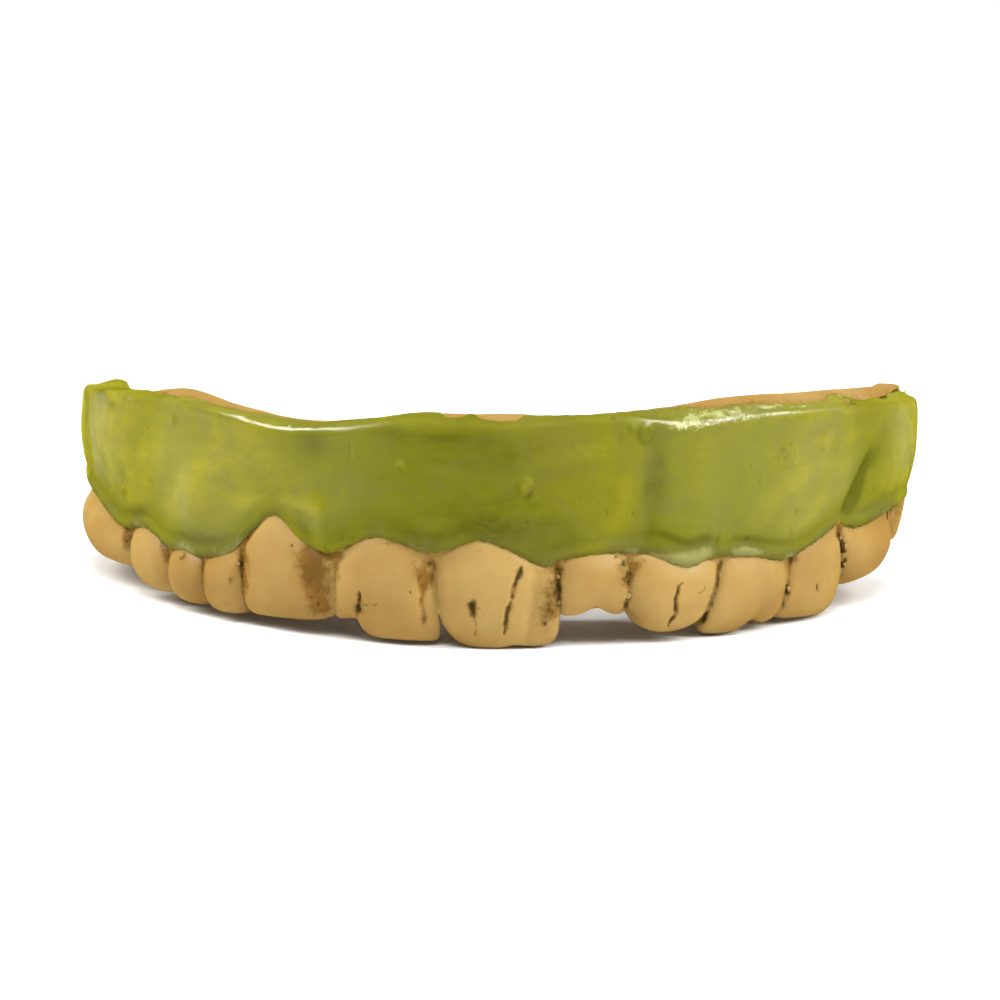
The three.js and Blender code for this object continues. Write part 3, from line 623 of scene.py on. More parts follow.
def push_out(inward, up, amount):
    """Moves the points of closed cross sections along their own normals, to the left of their run."""
    step_in = np.roll(inward, -1, axis=1) - np.roll(inward, 1, axis=1)
    step_up = np.roll(up, -1, axis=1) - np.roll(up, 1, axis=1)
    size = np.maximum(np.hypot(step_in, step_up), 1e-9)
    return inward - amount * step_up / size, up + amount * step_in / size


def rim_height(along, inward):
    """Top of the wall: from the gum's edge up to the tray's rim, and round its inner edge."""
    gum = follow(RIM, 1, along)
    tray = follow(RIM, 2, along)
    radius = RIM_EDGE["radius"]
    drop = radius - np.sqrt(radius**2 - np.clip(inward - RIM_EDGE["start"], 0, radius - 0.01) ** 2)
    climb_end = blend(RIM_CLIMB["end"], RIM_CLIMB["leg_end"], ease(along, *RIM_CLIMB["leg_from"]))
    return blend(gum, tray, ease(inward, RIM_CLIMB["start"], climb_end)) - drop


def coat_reach(chart, places):
    """How far the green coat reaches in over the rim, with a ragged edge."""
    spot = chart.points(places, 0 * places, 0 * places)
    wander = COAT_EDGE["ragged"] * ripple(spot, COAT_EDGE["wave"], 9)
    wander = wander * ease(np.abs(places), *COAT_EDGE["level_from"])
    return np.maximum(follow(COVER, 1, places) + wander, COAT_EDGE["least"])


def smooth(shell):
    for face in shell.faces:
        face.smooth = True


def swept(rows, fields):
    """A closed tube of quads through rows of points, welded along its seam and closed at both ends."""
    sections, around = rows.shape[:2]
    shell = bmesh.new()
    layers = {name: shell.verts.layers.float.new(name) for name in fields}
    bmesh.ops.create_grid(shell, x_segments=sections - 1, y_segments=around, size=1.0)
    flat = np.array([vert.co[:2] for vert in shell.verts])
    i = np.rint((flat[:, 0] + 1) / 2 * (sections - 1)).astype(int)
    j = np.rint((flat[:, 1] + 1) / 2 * around).astype(int) % around
    for vert, place in zip(shell.verts, rows[i, j]):
        vert.co = place
    for name, layer in layers.items():
        for vert, value in zip(shell.verts, fields[name][i, j]):
            vert[layer] = value
    bmesh.ops.remove_doubles(shell, verts=shell.verts, dist=1e-8)
    rim = [edge for edge in shell.edges if edge.is_boundary]
    holes = bmesh.ops.holes_fill(shell, edges=rim, sides=0)["faces"]
    caps = bmesh.ops.triangulate(shell, faces=holes)["faces"]
    smooth(shell)
    for cap in caps:
        cap.smooth = False
    bmesh.ops.recalc_face_normals(shell, faces=shell.faces)
    if shell.calc_volume(signed=True) < 0:
        bmesh.ops.reverse_faces(shell, faces=shell.faces)
    return shell


def new_piece(name, shell, material, node):
    """Makes a finished bmesh a piece that stands for its CAD node."""
    mesh = bpy.data.meshes.new(name)
    shell.to_mesh(mesh)
    shell.free()
    mesh.materials.append(material)
    piece = bpy.data.objects.new(name, mesh)
    bpy.context.scene.collection.objects.link(piece)
    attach(piece, "root")
    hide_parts(node)


# Materials


class Finish:
    """A new material, with short ways to add nodes to its tree."""

    def __init__(self, name):
        self.material = bpy.data.materials.new(name)
        self.material.use_nodes = True
        self.tree = self.material.node_tree
        self.shader = self.tree.nodes["Principled BSDF"]
        self.place = self.add("ShaderNodeTexCoord").outputs["Object"]

    def plug(self, socket, value):
        """Links a socket to a node's output, or sets its value."""
        if isinstance(value, bpy.types.NodeSocket):
            self.tree.links.new(value, socket)
        else:
            socket.default_value = value

    def add(self, kind, sockets=None, **settings):
        """Adds a node, sets it up and fills its sockets."""
        node = self.tree.nodes.new(kind)
        for key, value in settings.items():
            setattr(node, key, value)
        for key, value in (sockets or {}).items():
            self.plug(node.inputs[key], value)
        return node

    def give(self, **values):
        """Fills sockets of the shader, named with underscores for spaces."""
        for key, value in values.items():
            self.plug(self.shader.inputs[key.replace("_", " ")], value)

    def field(self, name):
        """A mark kept on the mesh's vertices."""
        return self.add("ShaderNodeAttribute", attribute_name=name).outputs["Fac"]

    def cloud(self, scale, detail=2.0, roughness=0.5, distortion=0.0, vector=None):
        """Noise from 0 to 1 over the piece's own coordinates, or over a given vector."""
        sockets = {"Vector": self.place if vector is None else vector, "Scale": scale, "Detail": detail}
        sockets |= {"Roughness": roughness, "Distortion": distortion}
        return self.add("ShaderNodeTexNoise", sockets).outputs["Fac"]

    def calc(self, operation, *values):
        return self.add("ShaderNodeMath", dict(enumerate(values)), operation=operation).outputs[0]

    def times(self, first, second):
        return self.calc("MULTIPLY", first, second)

    def stack(self, value, share, base):
        """A share of a value on top of a base."""
        return self.calc("MULTIPLY_ADD", value, share, base)

    def fleck(self, *noise_settings):
        """Noise about 0."""
        return self.calc("SUBTRACT", self.cloud(*noise_settings), 0.5)

    def band(self, value, low, high, to_low=0.0, to_high=1.0):
        """Smooth step of a value between two limits."""
        sockets = {"Value": value, "From Min": low, "From Max": high, "To Min": to_low, "To Max": to_high}
        return self.add("ShaderNodeMapRange", sockets, interpolation_type="SMOOTHSTEP").outputs["Result"]

    def tint(self, share, first, second):
        """A colour with a share of a second one, which may be plain."""
        second = second if isinstance(second, bpy.types.NodeSocket) else (*second, 1.0)
        sockets = {0: share, 6: first, 7: second}
        return self.add("ShaderNodeMix", sockets, data_type="RGBA").outputs[2]

    def shades(self, share, *stops):
        """Colour ramp through (place, colour) stops."""
        node = self.add("ShaderNodeValToRGB", {"Fac": share})
        ramp = node.color_ramp
        ramp.interpolation = "EASE"
        while len(ramp.elements) < len(stops):
            ramp.elements.new(0.5)
        for element, (place, shade) in zip(ramp.elements, stops):
            element.position = place
            element.color = (*shade, 1.0)
        return node.outputs["Color"]

    def relief(self, height, strength, distance):
        """Fine surface relief."""
        sockets = {"Height": height, "Strength": strength, "Distance": distance}
        self.give(Normal=self.add("ShaderNodeBump", sockets).outputs["Normal"])

    def sheen(self, level, start, end):
        """Gloss that fades where the surface turns away."""
        facing = self.add("ShaderNodeLayerWeight", {"Blend": 0.5}).outputs["Facing"]
        return self.band(facing, start, end, level, 0.0)


def brushed_green(colours):
    """Thick green paint, brushed on the slant at the left, level in the middle and upright at the right."""
    paint = Finish("brushed_green")
    along = paint.field("along")
    chart = paint.add("ShaderNodeCombineXYZ", {"X": along, "Y": paint.field("up")}).outputs[0]
    left = paint.band(along, -4.0, -16.0)
    right = paint.band(along, 11.0, 18.0)
    middle = paint.calc("SUBTRACT", 1.0, paint.calc("ADD", left, right))
    brush = 0.0
    strokes = ((middle, 4, (0.24, 0.9, 1)), (left, 52, (0.22, 0.9, 1)), (right, 86, (0.14, 0.7, 1)))
    for share, turn, scale in strokes:
        sockets = {"Vector": chart, "Rotation": (0, 0, -math.radians(turn)), "Scale": scale}
        turned = paint.add("ShaderNodeMapping", sockets, vector_type="POINT").outputs[0]
        brush = paint.stack(paint.fleck(1.0, 4.0, 0.6, 0.3, turned), share, brush)
    mottle = paint.fleck(480.0, 5.0, 0.68)
    # The paint field holds the green's tone together with painted light and shade along the arch
    tone = paint.stack(brush, 0.38, paint.field("paint"))
    tone = paint.times(paint.stack(mottle, 0.28, tone), 0.8)
    # The palest stop is also a painted sheen where the green is at its lightest
    lights = (colours.gum_dark, colours.gum_mid, colours.gum_light, colours.gum_pale_and_sheen)
    green = paint.shades(tone, *zip((0.0, 0.36, 0.76, 1.0), lights))
    hue = paint.cloud(260.0, 4.0, 0.6, 1.2)
    green = paint.tint(paint.band(hue, 0.44, 0.7, 0.0, 0.5), green, colours.gum_grey)
    lip = paint.stack(mottle, 1.1, paint.field("lip"))
    green = paint.tint(paint.band(lip, 0.1, 0.9, 0.0, 0.7), green, colours.gum_lip)
    green = paint.tint(paint.band(lip, 0.75, 1.3, 0.0, 0.85), green, colours.gum_roll)
    # Pale crust along the rim, partly painted highlights of its glossy ridges
    crust = paint.stack(paint.fleck(1100.0, 4.0, 0.65, 0.5), 2.6, paint.field("crust"))
    green = paint.tint(paint.band(crust, 0.6, 1.2, 0.0, 0.75), green, colours.crust)
    speck = paint.cloud(2600.0, 2.0, 0.6)
    green = paint.tint(paint.band(speck, 0.74, 0.82, 0.0, 0.45), green, colours.gum_light)
    # Painted shade of tiny pits: dark specks without any hollow under them
    pit_shade = paint.cloud(1700.0, 1.0)
    green = paint.tint(paint.band(pit_shade, 0.27, 0.2, 0.0, 0.5), green, colours.gum_dark)
    dull = paint.field("dull")
    gloss = paint.band(paint.cloud(300.0), 0.3, 0.7, 0.15, 0.25)
    gloss = paint.stack(paint.band(dull, 0.0, 1.5), 0.5, gloss)
    shine = paint.times(paint.sheen(0.15, 0.4, 0.85), paint.band(dull, 0.2, 1.2, 1.0, 0.1))
    paint.give(Base_Color=green, Roughness=gloss, IOR=1.45, Specular_IOR_Level=shine)
    cells = paint.add("ShaderNodeTexVoronoi", {"Vector": paint.place, "Scale": 620.0, "Randomness": 1.0})
    chosen = paint.add("ShaderNodeSeparateColor", {"Color": cells.outputs["Color"]}).outputs["Red"]
    pimple = paint.times(paint.band(cells.outputs["Distance"], 0.11, 0.03), paint.band(chosen, 0.7, 0.76))
    scratch = paint.times(paint.cloud(3600.0, 2.0, 0.6, 1.5), paint.field("rough"))
    grain = paint.stack(brush, 0.35, paint.times(speck, 0.06))
    grain = paint.stack(pimple, 0.55, grain)
    grain = paint.stack(scratch, 1.6, grain)
    paint.relief(grain, 0.5, 0.00012)
    return paint.material


def stained_tan(name, colours, light, polished):
    """Waxy tan acrylic with a brown wash, dark grime in its cracks and grooves, and painted shade."""
    cast = Finish(name)
    drift = cast.cloud(150.0, 3.0)
    tan = cast.shades(drift, (0.3, colours.tan_dark), (0.7, light))
    grain = cast.cloud(1500.0, 3.0, 0.6)
    tan = cast.tint(cast.band(grain, 0.35, 0.75, 0.0, 0.16), tan, colours.tan_dark)
    # Painted shade: the shade field darkens faces that turn from the light
    tan = cast.tint(cast.band(cast.field("shade"), 0.0, 1.0, 0.0, 0.5), tan, colours.tan_painted_shade)
    stain = cast.field("stain")
    brown = cast.stack(cast.fleck(700.0, 4.0, 0.65, 0.6), 1.7, stain)
    brown = cast.stack(cast.fleck(2600.0, 3.0, 0.6), 0.9, brown)
    wash = cast.shades(cast.cloud(500.0), (0.38, colours.stain), (0.62, colours.amber))
    tan = cast.tint(cast.band(brown, 0.2, 1.05, 0.0, 0.92), tan, wash)
    dirt = cast.fleck(2300.0, 3.0, 0.6)
    black = cast.stack(dirt, 1.5, cast.field("grime"))
    black = cast.stack(cast.fleck(6000.0, 2.0, 0.6), 0.9, black)
    black = cast.band(black, 0.28, 1.05, 0.0, 0.93)
    crack = cast.stack(dirt, 0.7, cast.field("crack"))
    black = cast.calc("MAXIMUM", black, cast.band(crack, 0.14, 1.0, 0.0, 0.86))
    grit = cast.band(cast.cloud(3200.0, 2.0, 0.6), 0.58, 0.7)
    black = cast.calc("MAXIMUM", black, cast.times(grit, cast.band(stain, 0.4, 1.0, 0.0, 0.6)))
    tan = cast.tint(black, tan, colours.grime)
    freckle = cast.cloud(850.0, 1.0, 0.4)
    tan = cast.tint(cast.band(freckle, 0.79, 0.84, 0.0, 0.6), tan, colours.stain)
    gloss = cast.band(cast.calc("ADD", black, cast.times(drift, 0.5)), 0.1, 1.2, 0.42, 0.6)
    cast.give(Base_Color=tan, Roughness=gloss)
    cast.give(Subsurface_Weight=0.18, Subsurface_Radius=(1.0, 0.55, 0.25), Subsurface_Scale=0.0009)
    if polished:
        clean = cast.stack(black, -0.9, 1.0)
        cast.give(Specular_IOR_Level=cast.times(cast.sheen(0.08, 0.2, 0.6), clean))
    else:
        cast.give(Specular_IOR_Level=0.0)
    cast.relief(cast.stack(black, -0.6, cast.times(grain, 0.35)), 0.25, 0.0001)
    return cast.material


def pale_floor(colours):
    """Matt pale floor with the faintest mottle."""
    ground = Finish("pale_floor")
    shade = tuple(0.985 * channel for channel in colours.ground)
    tone = ground.shades(ground.cloud(6.0), (0.3, shade), (0.7, colours.ground))
    ground.give(Base_Color=tone, Roughness=0.9, Specular_IOR_Level=0.1)
    return ground.material


# Shapes


def tooth_marks(chart, along, inward, up, stage):
    """Brown wash, grime, painted shade and the depth of cracks on the crowns and on the casting between
    them.
    """
    seen_along, seen_up = chart.seen_place(along, inward, up, stage.azimuth, stage.elevation)
    spot = chart.points(seen_along, 0 * seen_along, seen_up)
    seen_along = seen_along + 0.14 * ripple(spot, 0.9, 21) + 0.06 * ripple(spot, 0.35, 22)
    seen_up = seen_up + 0.14 * ripple(spot, 0.9, 23) + 0.06 * ripple(spot, 0.35, 24)
    washes = [(*row[:2], WASH_SPREAD[0] * row[2], WASH_SPREAD[1] * row[3], *row[4:]) for row in STAINS]
    stain = spots(washes, seen_along, seen_up, 5)
    grime = spots(STAINS, seen_along, seen_up, 6)
    shade = spots(SHADE, seen_along, seen_up, 5)
    hollow = np.zeros(np.shape(along))
    crack = np.zeros(np.shape(along))
    worn = np.clip(0.8 + 0.8 * ripple(spot, 0.5, 27), 0.35, 1.0)
    for depth, dark, line in CRACKS:
        close = near_line(line, seen_along, seen_up)
        hollow = np.maximum(hollow, depth * close)
        crack = np.maximum(crack, dark * worn * close**0.75)
        stain = np.maximum(stain, 0.75 * dark * close**0.4)
    stain = np.clip(stain, 0, 1.2)
    grime = np.clip(grime, 0, 1.3)
    return dict(zip(TOOTH_FIELDS, (stain, grime, crack, shade))), hollow


def gum_depth(along, up, grain_points):
    """Depth of the gum's face: its section, rolled lip, hollows, folds, blisters and rough places."""
    margin = follow(MARGIN, 1, along)
    top = follow(RIM, 1, along)
    above = up - margin
    depth = follow(GUM_FACE, 1, above / (top - margin))
    reach = follow(LIPS, 3, along)
    depth = depth - follow(LIPS, 1, along) * np.exp(-((above / reach - 1) ** 2))
    depth = depth + follow(LIPS, 2, along) * np.exp(-(((above / reach - 2.5) / 0.75) ** 2))
    depth = depth + spots(GUM_RELIEF, along, up, 5)
    for amount, line in GUM_FOLDS:
        depth = depth + amount * near_line(line, along, up)
    for at, height, radius, stand in BLISTERS:
        gap = np.hypot(along - at, (up - height) / BLISTER_TALL) / radius
        depth = depth - stand * np.exp(-(gap**6 if radius > BLISTER_STEEP else gap**3))
    for at, height, radius, stand in RINGS:
        gap = np.hypot(along - at, up - height)
        depth = depth - stand * np.exp(-(((gap - radius) / RING_WIDTH) ** 2))
    for at, height, long, wide, amount, size in ROUGH:
        inside = np.exp(-(((along - at) / long) ** 4) - ((up - height) / wide) ** 4)
        near = inside > 0.02
        grain = np.zeros(np.shape(along))
        grain[near] = ripple(grain_points[near], size, at)
        depth = depth - amount * inside * grain
    return depth


class TEETH_OT_tray(bpy.types.Operator):
    """Builds the tan tray that the wearer's own teeth go into, with the casting between the crowns"""

    bl_idname = "costume_teeth.tray"
    bl_label = "Build tray"

    def section(self, sizes, places, cover):
        """Inward and up of the points round each cross section, from the foot of the web."""
        ones = np.ones_like(places)

        def run(start, end, count):
            """Points from start up to, but without, end."""
            return tuple(blend(a * ones, b * ones, steps(count)) for a, b in zip(start, end))

        def corner(start, bend, end, count):
            """A rounded corner from start to end, pulled towards bend."""
            t = steps(count)
            pulls = ((1 - t) ** 2, 2 * t * (1 - t), t**2)
            knots = zip(start, bend, end)
            return tuple(sum(place * ones * pull for place, pull in zip(knot, pulls)) for knot in knots)

        def bare_rim(inward):
            """Height of the wall's top, lower where the coat lies on it."""
            coated = ease(inward, cover + 0.45, cover + 0.05)
            return rim_height(places * np.ones_like(inward), inward) - sizes.coat / MM * coated

        mouth = WALL_FACE + WALL_LEAN + sizes.wall / MM
        inner = mouth + blend(*CHANNEL_WIDTH, ease(np.abs(places), *CHANNEL_WIDENS))
        back = inner + sizes.lip_wall / MM
        floor = sizes.floor / MM
        lip = np.minimum(sizes.lip_top / MM, follow(RIM, 2, places) - LIP_DROP)
        web = blend(sizes.web / MM, HEEL_WEB, ease(places, *HEEL_FROM))
        web = web + END_SET_BACK * ease(places, *END_FROM)
        gumline = follow(MARGIN, 1, places)
        foot = follow(WEB_FOOT, 1, places)
        wall_top = bare_rim(mouth * ones)
        rim_in = WALL_FACE + (mouth - WALL_FACE) * steps(26) * ones
        rim_up = bare_rim(rim_in)
        base = TRAY_BASE
        parts = (
            corner((web, foot + 0.5), (web, foot), (web + 0.5, foot), 6),
            run((web + 0.5, foot), (web + 1.1, foot + 0.1), 3),
            run((web + 1.1, foot + 0.1), (web + 1.6, base), 4),
            run((web + 1.6, base), (back - 1.4, base), 20),
            corner((back - 1.4, base), (back, base), (back, base + 1.4), 8),
            run((back, base + 1.4), (back, lip - 0.8), 10),
            corner((back, lip - 0.8), (back, lip), (back - 0.8, lip), 7),
            corner((back - 0.8, lip), (inner, lip), (inner, lip - 0.8), 7),
            run((inner, lip - 0.8), (inner - 0.2, floor + 1.0), 9),
            corner((inner - 0.2, floor + 1.0), (inner - 0.2, floor), (inner - 1.2, floor), 7),
            run((inner - 1.2, floor), (mouth + 1.2, floor), 14),
            corner((mouth + 1.2, floor), (mouth + 0.2, floor), (mouth + 0.2, floor + 1.0), 7),
            run((mouth + 0.2, floor + 1.0), (mouth, wall_top), 16),
            (rim_in[:, ::-1], rim_up[:, ::-1]),
            run((WALL_FACE, rim_up[:, :1]), (WALL_FACE, gumline + 0.9), 18),
            run((WALL_FACE, gumline + 0.9), (web, gumline + 0.4), 3),
            run((web, gumline + 0.4), (web, foot + 0.5), 22),
        )
        return (np.concatenate(part, axis=1) for part in zip(*parts))

    def marks(self, chart, stage, places, cover, along, inward, up):
        """Stains and painted shade on the casting between the crowns; stains behind the last crown and on
        the bare rim.
        """
        marks, _ = tooth_marks(chart, along, inward, up, stage)
        margin = follow(MARGIN, 1, along)
        rim = follow(RIM, 2, places)
        front = ease(inward, 2.6, 1.8) * ease(up, margin + 1.2, margin + 0.6)
        heel = ease(places, 50.2, 51.2) * ease(up, margin + 0.6, margin)
        seam = np.exp(-(((along - 45.5) / 0.4) ** 2)) * ease(up, 4.2, 5.2)
        marks["stain"] = np.maximum(np.maximum(marks["stain"], 0.35 * heel), seam)
        marks["grime"] = np.maximum(marks["grime"], 0.75 * seam)
        marks = {name: values * front for name, values in marks.items()}
        rim_wash = np.exp(-(((inward - cover) / 0.6) ** 2)) * ease(up, rim - 1.4, rim - 0.7)
        marks["stain"] = np.maximum(marks["stain"], 0.42 * rim_wash)
        return marks

    def execute(self, context):
        scene = context.scene
        chart = chart_of(scene)
        places = section_places(SECTIONS["tray"], TRAY_SHORT)[:, None]
        cover = coat_reach(chart, places)
        inward, up = self.section(scene.teeth_arch, places, cover)
        stations = places * np.ones_like(up)
        rough = chart.points(leaned(stations, up), inward, up)
        uneven = 0.07 * ripple(rough, 3.2, 3) + 0.025 * ripple(rough, 0.9, 5)
        above_gumline = up > follow(MARGIN, 1, places) + 0.5
        behind_gum = ease(inward, WALL_FACE + 0.8, WALL_FACE + 0.1) * above_gumline
        inset = end_inset(stations, TRAY_SHORT) * blend(1.0, 0.1, behind_gum)
        inward, up = push_out(inward, up, inset - uneven * (inward > 1.2))
        along = leaned(stations, up)
        marks = self.marks(chart, scene.teeth_stage, places, cover, along, inward, up)
        shell = swept(chart.points(along, inward, up), marks)
        material = stained_tan("tray_tan", scene.teeth_finish, scene.teeth_finish.tray_tan, False)
        new_piece("tray_cast", shell, material, "tray")
        return {"FINISHED"}


class TEETH_OT_gum(bpy.types.Operator):
    """Builds the thick green gum brushed over the front wall and its rim"""

    bl_idname = "costume_teeth.gum"
    bl_label = "Build gum"

    def section(self, coat, places, cover, margin):
        """Inward and up of the points round each plain cross section, from its lower back edge."""
        ones = np.ones_like(places)
        top = follow(RIM, 1, places)
        shoulder = follow(SHOULDER, 1, places)
        turn = np.sin(steps(GUM_POINTS["under"]) * math.pi / 2)
        under_in = blend(GUM_BACK, 0.5, turn) * ones
        under_up = margin + 0.5 * (1 - turn) ** 2
        face_up = blend(margin, top - shoulder, steps(GUM_POINTS["face"]))
        face_in = np.zeros_like(face_up)
        bend = steps(GUM_POINTS["round"]) * math.pi / 2
        round_in = shoulder * (1 - np.cos(bend)) * ones
        round_up = top - shoulder + shoulder * np.sin(bend)
        over = blend(shoulder, cover, np.linspace(0, 1, GUM_POINTS["over"]))
        over_in = np.minimum(over, MOUTH - 0.02)
        over_up = rim_height(places * np.ones_like(over), over_in) - np.maximum(over - MOUTH, 0)
        over_in = over_in + coat * ease(over, 2.8, MOUTH)
        wraps = ease(cover, MOUTH - 0.3, MOUTH + 0.1)
        edge_in = blend(over_in[:, -1:] - 0.03, MOUTH - 0.06, wraps)
        edge_up = over_up[:, -1:] - blend(coat + 0.06, 0.05, wraps)
        home = steps(GUM_POINTS["home"])[1:]
        home_in = blend(edge_in, GUM_BACK + 0.1, np.minimum(home * 2.5, 1))
        home_rim = rim_height(places * np.ones_like(home_in), home_in) - coat - 0.08
        home_up = blend(home_rim, margin + 0.5, ease(home, 0.35, 1.0))
        inward = np.concatenate((under_in, face_in, round_in, over_in, edge_in, home_in), axis=1)
        up = np.concatenate((under_up, face_up, round_up, over_up, edge_up, home_up), axis=1)
        return inward, up

    def dressed(self, chart, places, inward, up):
        """Cross sections with their relief, and drawn in at the ends of the legs."""
        stations = places * np.ones_like(up)
        along = leaned(stations, up)
        rough = chart.points(along, inward, up)
        depth = gum_depth(along, np.minimum(up, follow(RIM, 1, places)), rough)
        depth = depth - 0.05 * ripple(rough, 2.4, 1) - 0.02 * ripple(rough, 0.8, 2)
        column = np.arange(up.shape[1])[None, :] * np.ones_like(up)
        first_face = GUM_POINTS["under"]
        first_over = first_face + GUM_POINTS["face"] + GUM_POINTS["round"]
        first_home = first_over + GUM_POINTS["over"]
        from_under = ease(column, 0, first_face)
        inward = inward + depth * from_under * ease(column, first_over + 6.0, first_over - 8.0)
        swell = 0.05 * ripple(rough, 1.1, 4) + 0.04 * ripple(rough, 0.5, 6)
        for at, in_from, radius, stand in RIM_MARKS:
            gap = np.hypot(along - at, inward - in_from) / radius
            swell = swell + stand * np.exp(-(gap**4))
        up = up + swell * ease(column, first_over - 9.0, first_over) * (column < first_home)
        thick = blend(0.12, 1.0, from_under * ease(column, first_over, first_over - 9.0))
        inward, up = push_out(inward, up, -thick * end_inset(stations, 0.0))
        return leaned(stations, up), inward, up

    def marks(self, chart, along, up, above):
        """Paint's tone with painted light and shade, pale lips, crust with painted highlights, rough
        places, dullness.
        """
        reach = follow(LIPS, 3, along)
        flat = chart.points(along, 0 * along, up)
        patchy = np.clip(0.75 + 0.9 * ripple(flat, 3.0, 31), 0.15, 1.15)
        # Painted shade: the valley above the rolled lip darkens the green, and so does a band about 1 mm
        # above the gumline
        valley = follow(LIPS, 2, along) * np.exp(-(((above / reach - 2.3) / 0.8) ** 2))
        paint = follow(GREEN_TONE_AND_PAINTED_LIGHT, 1, along) + spots(GREEN_CLOUDS_AND_PAINTED_LIGHT, along, up, 5) - 0.45 * valley
        paint = paint - 0.22 * patchy * np.exp(-(((above - 1.0) / 0.8) ** 2))
        roll = np.clip(0.6 + 2.6 * follow(LIPS, 1, along), 0, 1.3)
        lip = np.exp(-((above / (2.6 * reach)) ** 2)) * roll * patchy
        lip = lip + spots(GREY, along, up, 5) + spots(PALE_LIPS, along, up, 5)
        lip = lip + 0.3 * np.exp(-(((above - 0.1) / 0.26) ** 2)) * ease(ripple(flat, 1.3, 33), -0.2, 0.5)
        dull = follow(DULL, 1, along) + 1.2 * np.exp(-((above / (4.0 * reach)) ** 2))
        rough = spots([(*row[:4], 0, 1.0) for row in ROUGH], along, up, 5)
        marks = {"along": along, "up": up, "paint": paint, "lip": lip, "rough": rough, "dull": dull}
        marks["crust"] = spots(CRUST_AND_HIGHLIGHTS, along, up, 5)
        return marks

    def execute(self, context):
        scene = context.scene
        chart = chart_of(scene)
        places = section_places(SECTIONS["gum"], 0.0)[:, None]
        ragged = 0.06 * np.sin(places * 5.3) + 0.05 * np.sin(places * 9.1 + 1.3)
        margin = follow(MARGIN, 1, places) + ragged * 0.8
        cover = coat_reach(chart, places)
        inward, up = self.section(scene.teeth_arch.coat / MM, places, cover, margin)
        along, inward, up = self.dressed(chart, places, inward, up)
        shell = swept(chart.points(along, inward, up), self.marks(chart, along, up, up - margin))
        new_piece("gum_coat", shell, brushed_green(scene.teeth_finish), "gum")
        return {"FINISHED"}


class TEETH_OT_crowns(bpy.types.Operator):
    """Builds the twelve crooked crowns with their cracks, stains and casting beads"""

    bl_idname = "costume_teeth.crowns"
    bl_label = "Build crowns"

    def around(self, share, half):
        """Across and depth, each from -1 to 1, of even shares round a crown, closer together in front."""

        def squared(angle):
            return [np.sign(side) * np.abs(side) ** CROWN_SQUARE for side in (np.cos(angle), np.sin(angle))]

        sweep = np.linspace(0, 2 * math.pi, ARCH_STEPS)
        out, deep = squared(sweep)
        density = np.where(np.sin(sweep[1:]) < 0, 1.0, 0.5)
        step = np.hypot(np.diff(out * half), np.diff(deep * CROWN_DEPTH)) * density
        run = np.concatenate(([0], np.cumsum(step)))
        return squared(np.interp(share, run / run[-1], sweep))

    def crown(self, shell, layers, chart, stage, row):
        rings, start, end, lean, edge, heel = row
        bmesh.ops.create_uvsphere(shell, u_segments=CROWN_MESH[0], v_segments=CROWN_MESH[1], radius=1.0)
        ball = np.array([vert.co for vert in shell.verts])
        climb = 1 - np.arccos(np.clip(ball[:, 2], -1, 1)) / math.pi
        share = (np.arctan2(ball[:, 1], ball[:, 0]) / (2 * math.pi)) % 1.0
        half = (end - start) / 2 + CROWN_OVERLAP
        across, depth = self.around(share, half)
        rise, width, front, side, back_rise, back = (follow(rings, column, climb) for column in range(1, 7))
        inward = blend(side, np.where(depth < 0, front, back), np.abs(depth))
        sway = blend(lean[0], lean[1], (across + 1) / 2) * (1 - rise) ** 2
        along = (start + end) / 2 + across * half * width + sway
        gumline = follow(MARGIN, 1, along) + 0.1
        tip = np.maximum(follow(edge, 1, across * width), 0)
        inner = tip if heel is None else heel
        ceiling = blend(TRAY_BASE + 0.35, gumline, ease(rise, 0.55, 0.8))
        back_up = np.minimum(inner + back_rise * (1 - inner / TRAY_BASE), ceiling)
        back_up = blend(back_up, gumline, ease(rise, 0.9, 1.0))
        up = blend(blend(tip, gumline, rise), back_up, ease(depth, -0.4, 0.45))
        rough = chart.points(along, inward, up)
        marks, hollow = tooth_marks(chart, along, inward, up, stage)
        uneven = 0.05 * ripple(rough, 2.6, 11) + 0.012 * ripple(rough, 0.9, 12)
        inward = inward + hollow * ease(-depth, 0.0, 0.55) + uneven
        for vert, place in zip(shell.verts, chart.points(along, inward, up)):
            vert.co = place
        seen = ease(depth, 0.7, 0.1)
        for name, values in marks.items():
            for vert, value in zip(shell.verts, values * seen):
                vert[layers[name]] = value

    def bead(self, shell, layers, chart, along, up, inward, radius, dirt):
        made = bmesh.ops.create_icosphere(shell, subdivisions=4, radius=radius * MM)["verts"]
        centre = Vector(chart.points(np.array(along), np.array(inward), np.array(up)))
        _, x, y = chart.way(along)
        outward = Vector((float(y), -float(x), 0.15)).normalized()
        for vert in made:
            level = vert.co.normalized().dot(outward)
            vert[layers["grime"]] = 1.2 * dirt * (1 - float(ease(level, 0.6, 0.93)))
            vert[layers["stain"]] = 0.1 + 0.5 * dirt
            vert.co = vert.co + centre

    def execute(self, context):
        scene = context.scene
        chart = chart_of(scene)
        material = stained_tan("tooth_tan", scene.teeth_finish, scene.teeth_finish.tan_light, True)
        for name, row in TEETH.items():
            shell = bmesh.new()
            layers = {key: shell.verts.layers.float.new(key) for key in TOOTH_FIELDS}
            self.crown(shell, layers, chart, scene.teeth_stage, row)
            for owner, *place in BEADS:
                if owner == name:
                    self.bead(shell, layers, chart, *place)
            bmesh.ops.recalc_face_normals(shell, faces=shell.faces)
            smooth(shell)
            new_piece("crown_" + name, shell, material, "tooth_" + name)
        return {"FINISHED"}


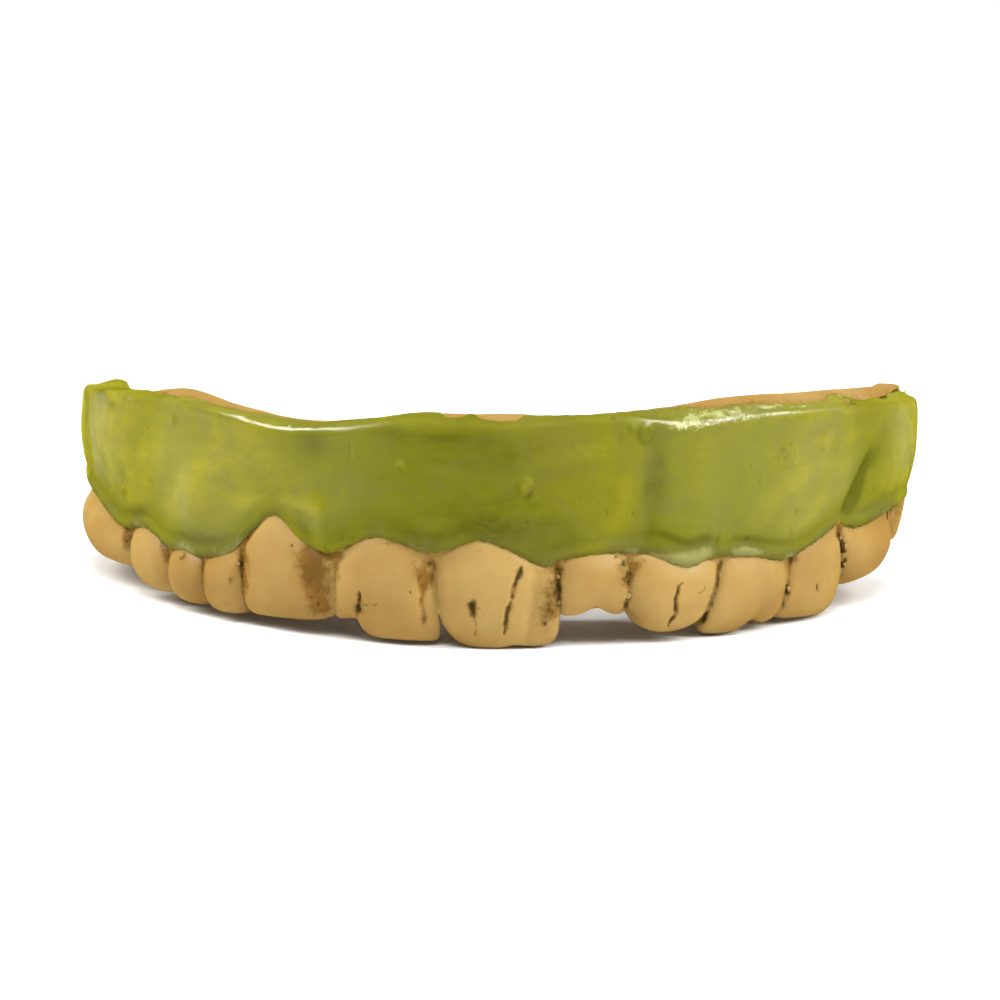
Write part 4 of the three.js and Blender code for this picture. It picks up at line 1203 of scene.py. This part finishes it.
class TEETH_OT_stage(bpy.types.Operator):
    """Sets the pale floor, the soft studio light and the camera"""

    bl_idname = "costume_teeth.stage"
    bl_label = "Set the stage"

    def light(self, scene, name, azimuth, elevation, distance, size, power, reach):
        data = bpy.data.lights.new(name, "AREA")
        data.shape = "RECTANGLE"
        data.size = size[0]
        data.size_y = size[1]
        data.energy = power
        lamp = bpy.data.objects.new(name, data)
        back = Vector(view_back(azimuth, elevation))
        lamp.location = back * distance
        lamp.rotation_euler = back.to_track_quat("Z", "Y").to_euler()
        lamp.visible_diffuse = reach == "shade"
        lamp.visible_glossy = reach == "gloss"
        scene.collection.objects.link(lamp)

    def floor(self, scene):
        shell = bmesh.new()
        bmesh.ops.create_grid(shell, x_segments=4, y_segments=4, size=3.0)
        mesh = bpy.data.meshes.new("floor")
        shell.to_mesh(mesh)
        shell.free()
        mesh.materials.append(pale_floor(scene.teeth_finish))
        floor = bpy.data.objects.new("floor", mesh)
        scene.collection.objects.link(floor)

    def camera(self, scene, stage):
        azimuth = math.radians(stage.azimuth)
        roll = math.radians(stage.roll)
        back = Vector(view_back(stage.azimuth, stage.elevation))
        right = Vector((math.cos(azimuth), math.sin(azimuth), 0))
        upward = back.cross(right)
        rolled_right = right * math.cos(roll) + upward * math.sin(roll)
        rolled_up = upward * math.cos(roll) - right * math.sin(roll)
        data = bpy.data.cameras.new("camera")
        data.lens = stage.lens
        data.sensor_width = 36.0
        data.clip_start = 0.01
        data.clip_end = 20.0
        camera = bpy.data.objects.new("camera", data)
        axes = Matrix((rolled_right, rolled_up, back)).transposed().to_4x4()
        target = Vector(CAMERA_TARGET) * MM
        camera.matrix_world = Matrix.Translation(target + back * stage.distance) @ axes
        scene.collection.objects.link(camera)
        scene.camera = camera

    def execute(self, context):
        scene = context.scene
        stage = scene.teeth_stage
        self.floor(scene)
        world = bpy.data.worlds.new("studio")
        world.use_nodes = True
        sky = world.node_tree.nodes["Background"]
        sky.inputs["Color"].default_value = (1.0, 1.0, 1.0, 1.0)
        sky.inputs["Strength"].default_value = stage.sky
        scene.world = world
        scene.view_settings.view_transform = "Standard"
        for name, azimuth, elevation, distance, size, power, reach in LIGHTS:
            self.light(scene, name, azimuth, elevation, distance, size, getattr(stage, power), reach)
        self.camera(scene, stage)
        return {"FINISHED"}


class TEETH_PT_panel(bpy.types.Panel):
    """Lists the pieces of the costume teeth"""

    bl_idname = "TEETH_PT_panel"
    bl_label = "Costume teeth"
    bl_space_type = "VIEW_3D"
    bl_region_type = "UI"
    bl_category = "Costume teeth"

    def draw(self, context):
        for operator in OPERATORS:
            self.layout.operator(operator.bl_idname)
        for group in (context.scene.teeth_arch, context.scene.teeth_finish, context.scene.teeth_stage):
            box = self.layout.box()
            for key in group.__annotations__:
                box.prop(group, key)


OPERATORS = (TEETH_OT_tray, TEETH_OT_gum, TEETH_OT_crowns, TEETH_OT_stage)
CLASSES = (ArchSizes, FinishColours, StageSettings, *OPERATORS, TEETH_PT_panel)


def register():
    for item in CLASSES:
        bpy.utils.register_class(item)
    bpy.types.Scene.teeth_arch = bpy.props.PointerProperty(type=ArchSizes)
    bpy.types.Scene.teeth_finish = bpy.props.PointerProperty(type=FinishColours)
    bpy.types.Scene.teeth_stage = bpy.props.PointerProperty(type=StageSettings)


def unregister():
    del bpy.types.Scene.teeth_stage
    del bpy.types.Scene.teeth_finish
    del bpy.types.Scene.teeth_arch
    for item in reversed(CLASSES):
        bpy.utils.unregister_class(item)


def main():
    register()
    bpy.ops.costume_teeth.tray()
    bpy.ops.costume_teeth.gum()
    bpy.ops.costume_teeth.crowns()
    bpy.ops.costume_teeth.stage()


if __name__ == "__main__":
    main()
